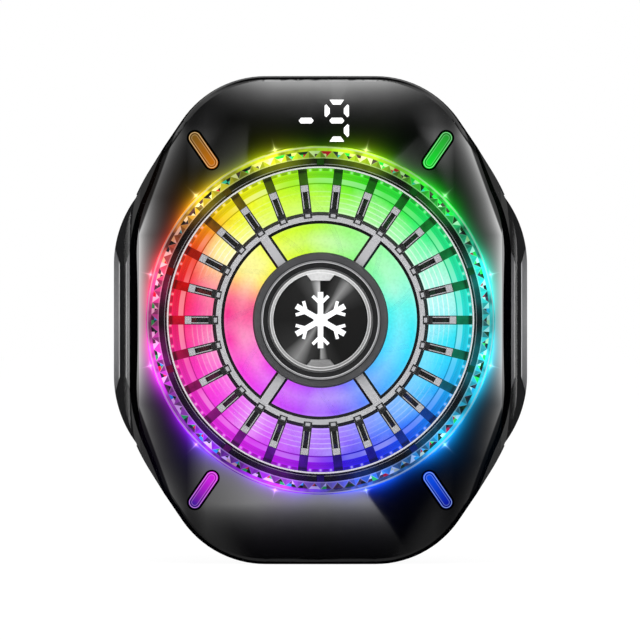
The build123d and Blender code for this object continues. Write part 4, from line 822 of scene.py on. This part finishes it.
def stripFinish():
    # grey that darkens towards both ends, with a painted highlight line along one edge
    look = stripLook
    finish, tree, shader = newFinish("stripGrey", rough=look["rough"])
    at = places(tree)
    fine = noise(tree, *look["grain"])
    tone = ramp(slope(abs(at.z), *look["fade"]), look["tones"])
    tone = mixColor(fine * look["grainShare"], tone, paint(look["grainColor"]))
    # the painted highlight along the edge
    line = band(abs(at.x), *look["line"]) * look["highlightShare"]
    feed(shader, color=mixColor(line, tone, paint(look["highlightColor"])))
    bump(shader, fine, *look["bump"])
    return finish


dress(mouldedFinish("armBlack", "0b0b0d", 0.55, 2800, 0.02, spec=0.2), "left_arm", "right_arm")
dress(stripFinish(), "left_side_strip", "right_side_strip")
dress(mouldedFinish("housingBlack", "1b1b1e", 0.42, 2800, 0.03), "mid_housing", "rear_cover")
dress(mouldedFinish("buttonBlack", "2a2a2d", 0.35), "mode_button")

# silicone pads: soft sheen, faint diamond texture and dust
padLook = {
    "rough": 0.62, "sheen": 0.25, "dark": "232326", "light": "343438",
    "weave": 4.2, "dust": (700, 5), "dustHeight": 0.3, "bump": (0.4, 0.06),
}


def padFinish():
    look = padLook
    finish, tree, shader = newFinish("padSilicone", rough=look["rough"], sheen=look["sheen"])
    at = places(tree)
    weave = calc("SINE", (at.x + at.z) * look["weave"]) * calc("SINE", (at.x - at.z) * look["weave"])
    dust = noise(tree, *look["dust"])
    feed(shader, color=mixColor(dust, paint(look["dark"]), paint(look["light"])))
    bump(shader, weave + dust * look["dustHeight"], *look["bump"])
    return finish


dress(padFinish(), "contact_pad", "left_jaw_pad", "right_jaw_pad", "peltier_gasket")

# metals: colour, roughness, how much the noise is squeezed along each axis, its scale
dress(metalFinish("steelBright", "c2c2c6", 0.2), "fan_shaft", "housing_screws", "cold_plate_screws", "fan_screws",
      "pinion_pin", "left_spring", "right_spring")
dress(metalFinish("slideSteel", "a9abb0", 0.3, (1, 1, 30)), "left_slide_plate", "right_slide_plate",
      "left_guide_plate", "right_guide_plate")
dress(metalFinish("sinkAluminium", "c6c7ca", 0.34, (30, 30, 1)), "heatsink")
dress(metalFinish("plateAluminium", "cfd0d3", 0.28, (1, 30, 30)), "cold_plate")
dress(metalFinish("sleeveBronze", "b58a4a", 0.3), "bearing_sleeve")
dress(metalFinish("coreSteel", "84868a", 0.4, (1, 40, 1)), "stator_core")
dress(metalFinish("coilCopper", "b5592c", 0.3, (1, 60, 1), 500), "stator_coils")
dress(metalFinish("socketSteel", "b0b1b4", 0.3, (30, 30, 1)), "usb_socket")

# inner plastic, ceramic and board parts, as the moulded pieces above
dress(mouldedFinish("frameBlack", "1a1a1d", 0.5), "fan_frame")
dress(mouldedFinish("magnetGrey", "2e2e30", 0.55), "rotor_magnet")
dress(mouldedFinish("boardGreen", "12422a", 0.4, 2000), "main_board", "led_board", "light_bar_boards")
dress(mouldedFinish("lampYellow", "e6dca0", 0.4), "led_chips")
dress(mouldedFinish("coolerCeramic", "e8e8e4", 0.5), "peltier_ceramics")
dress(mouldedFinish("pelletDark", "38383c", 0.45), "peltier_pellets")
dress(mouldedFinish("pinionPlastic", "dcdcd2", 0.4), "pinion")
print("inner parts dressed")

# stage in metres: camera, floor, and soft boxes with their place, size and level
studio = {
    "distance": 1.2, "planeY": -0.0165, "frameWidth": 0.09876, "aim": (-0.000077, 0.000015), "clipEnd": 20,
    "floorSize": (12, 12), "floorColor": (0.82, 0.82, 0.82, 1), "floorRough": 0.7,
    "floorLit": 0.9, "floorShine": 1.06,
    "boxes": {
        "topBox": ((0, -0.62, 0.86), (1.1, 0.84), 3.4),
        "leftBox": ((-0.95, -0.42, 0.1), (0.3, 0.9), 2.6),
        "rightBox": ((0.95, -0.42, 0.1), (0.3, 0.9), 2.6),
    },
}


def rays(tree, *kinds):
    outputs = add(tree, "LightPath").socket.node.outputs
    return [Wire(outputs["Is " + kind + " Ray"]) for kind in kinds]


def stageSheet(name, center, size, finish):
    # a flat rectangle that gloss doesn't see
    wide, tall = size[0] / 2, size[1] / 2
    mesh = bpy.data.meshes.new(name)
    mesh.from_pydata([(-wide, -tall, 0), (wide, -tall, 0), (wide, tall, 0), (-wide, tall, 0)], [], [(0, 1, 2, 3)])
    mesh.materials.append(finish)
    piece = bpy.data.objects.new(name, mesh)
    bpy.context.scene.collection.objects.link(piece)
    piece.location = center
    piece.visible_glossy = False
    return piece


def floorFinish():
    # pale and matt, and shining where the camera looks, so that the background is white
    look = studio
    finish, tree, shader = newFinish("floorPale", color=look["floorColor"], rough=look["floorRough"])
    seen = calc("MAXIMUM", *rays(tree, "Camera", "Transmission")) * look["floorLit"]
    shine = add(tree, "Emission", {"Strength": look["floorShine"]})
    blend = add(tree, "MixShader", {0: seen, 1: Wire(shader.outputs[0]), 2: shine})
    plug(blend, tree.nodes["Material Output"].inputs["Surface"])
    return finish


def softBox(name, center, size, level):
    # a glowing rectangle that faces the object and that the camera doesn't see
    finish, tree, shader = newFinish(name + "Finish")
    tree.nodes.remove(shader)
    shine = add(tree, "Emission", {"Color": white, "Strength": level})
    plug(shine, tree.nodes["Material Output"].inputs["Surface"])
    piece = stageSheet(name, center, size, finish)
    piece.rotation_mode = "QUATERNION"
    piece.rotation_quaternion = (-Vector(center)).to_track_quat("Z", "Y")
    piece.visible_camera = False


# what gloss sees, by direction in degrees: azimuth from the front, height, and angle from straight behind
reflected = {
    # top and bottom lights: height, level there, and the reach over which the level grows by e
    "top": (38.4, 2.3, 1.62), "topMost": 7.0, "topMiddle": 1.7, "topWide": (11.5, 25.5, 1.0, 0.12),
    "topEnd": (56.0, 72.0, 1.0, 0.0),
    "bottom": (-33.2, 0.8, 1.75), "bottomMost": 3.2, "bottomRight": (8.2, -29.0, -0.95),
    "bottomLeft": (-30.0, -12.0), "bottomEnd": (-12.0, 4.0, 1.0, 0.0),
    # strips at both sides, their levels by height, and the left one's share
    "sideStart": 25.5, "sideSoft": (0.0, 4.5), "sideEnd": (48.0, 60.0, 1.0, 0.0),
    "sideLean": 6.4, "leanHeight": 30.0,
    "sideLevels": (
        (-90.0, 0.3), (-22.6, 0.2), (-17.7, 0.7), (-12.9, 1.7), (-7.0, 4.8), (7.0, 5.2), (15.4, 5.0), (19.4, 3.4),
        (24.0, 3.3), (30.0, 4.0), (32.5, 0.9), (36.0, 0.1),
    ),
    "leftShare": (13.0, 20.0, 1.0, 0.32),
    # dim panels; an edge is its azimuth, the height there, and how far it moves for each degree of height
    "panel": 0.9, "panelLeft": -13.6, "panelRight": (13.0, 26.8, 1.4), "panelWide": (14.0, 22.0, 1.0, 0.0),
    "panelLow": (8.0, 20.0), "panelHigh": (25.0, 33.5, 1.0, 0.0),
    "behind": (10.0, 27.0, 0.12, 0.0),
    # level of the world for soft light, and where it is seen
    "plain": (0.6, 1.0),
}


def rise(value, start, level, reach):
    # grows by e over each reach
    return calc("EXPONENT", (value - start) / reach) * level


def tabled(value, rows):
    # straight lines between the rows' levels
    steps = [slope(value, low, high, 0.0, last - first) for (low, first), (high, last) in zip(rows, rows[1:])]
    return sum(steps[1:], steps[0]) + rows[0][1]


def slanted(height, azimuth, atHeight, lead):
    return (height - atHeight) * lead + azimuth


def glossLight(tree):
    look = reflected
    wayX, wayY, wayZ = split(add(tree, "TexCoord", output="Generated"))
    degrees = 180 / pi
    height = calc("ARCSINE", wayZ) * degrees
    around = calc("ARCTAN2", wayX, wayY * -1.0) * degrees
    behind = calc("ARCCOSINE", wayY) * degrees
    wide = abs(around)
    # a bright top light that starts softly, fades to both sides and ends before the zenith
    top = calc("MINIMUM", rise(height, *look["top"]), look["topMost"])
    top = top * slope(abs(around - look["topMiddle"]), *look["topWide"]) * slope(height, *look["topEnd"])
    # strips at both sides that lean in with the square of the height
    lean = (abs(height) / look["leanHeight"]) ** 2.0 * look["sideLean"]
    strip = slope(wide + lean - look["sideStart"], *look["sideSoft"]) * slope(wide, *look["sideEnd"])
    share = calc("MAXIMUM", slope(height, *look["leftShare"]), around > 0.0)
    strip = strip * tabled(height, look["sideLevels"]) * share
    # two dim panels above, each bright at its hard inner edge
    sides = (around < look["panelLeft"]) + (around > slanted(height, *look["panelRight"]))
    panels = sides * look["panel"] * slope(wide, *look["panelWide"])
    panels = panels * slope(height, *look["panelLow"]) * slope(height, *look["panelHigh"])
    # a glow from the table, cut off to the right
    bottom = calc("MINIMUM", rise(height, *look["bottom"]), look["bottomMost"])
    bottom = bottom * (around < slanted(height, *look["bottomRight"]))
    bottom = bottom * slope(around, *look["bottomLeft"]) * slope(height, *look["bottomEnd"])
    return top + strip + panels + bottom + slope(behind, *look["behind"])


def worldLight():
    world = bpy.data.worlds.new("studio")
    bpy.context.scene.world = world
    world.use_nodes = True
    tree = world.node_tree
    tree.nodes.clear()
    camera, through, glossy = rays(tree, "Camera", "Transmission", "Glossy")
    plain = slope(calc("MAXIMUM", camera, through), 0.0, 1.0, *reflected["plain"])
    strength = plain * (1.0 - glossy) + glossLight(tree) * glossy
    shine = add(tree, "Background", {"Color": white, "Strength": strength})
    plug(shine, tree.nodes.new("ShaderNodeOutputWorld").inputs["Surface"])


def placeCamera():
    # straight from the front, far enough off to show little perspective
    camera = bpy.data.objects.new("camera", bpy.data.cameras.new("camera"))
    bpy.context.scene.collection.objects.link(camera)
    camera.data.lens = camera.data.sensor_width * studio["distance"] / studio["frameWidth"]
    camera.data.clip_end = studio["clipEnd"]
    aimX, aimZ = studio["aim"]
    camera.location = (aimX, studio["planeY"] - studio["distance"], aimZ)
    camera.rotation_euler = (pi / 2, 0, 0)
    bpy.context.scene.camera = camera


stageSheet("floor", (0, 0, cadBox[0][2]), studio["floorSize"], floorFinish())
for name, box in studio["boxes"].items():
    softBox(name, *box)
worldLight()
placeCamera()
bpy.context.scene.view_settings.view_transform = "Standard"
print("stage set")
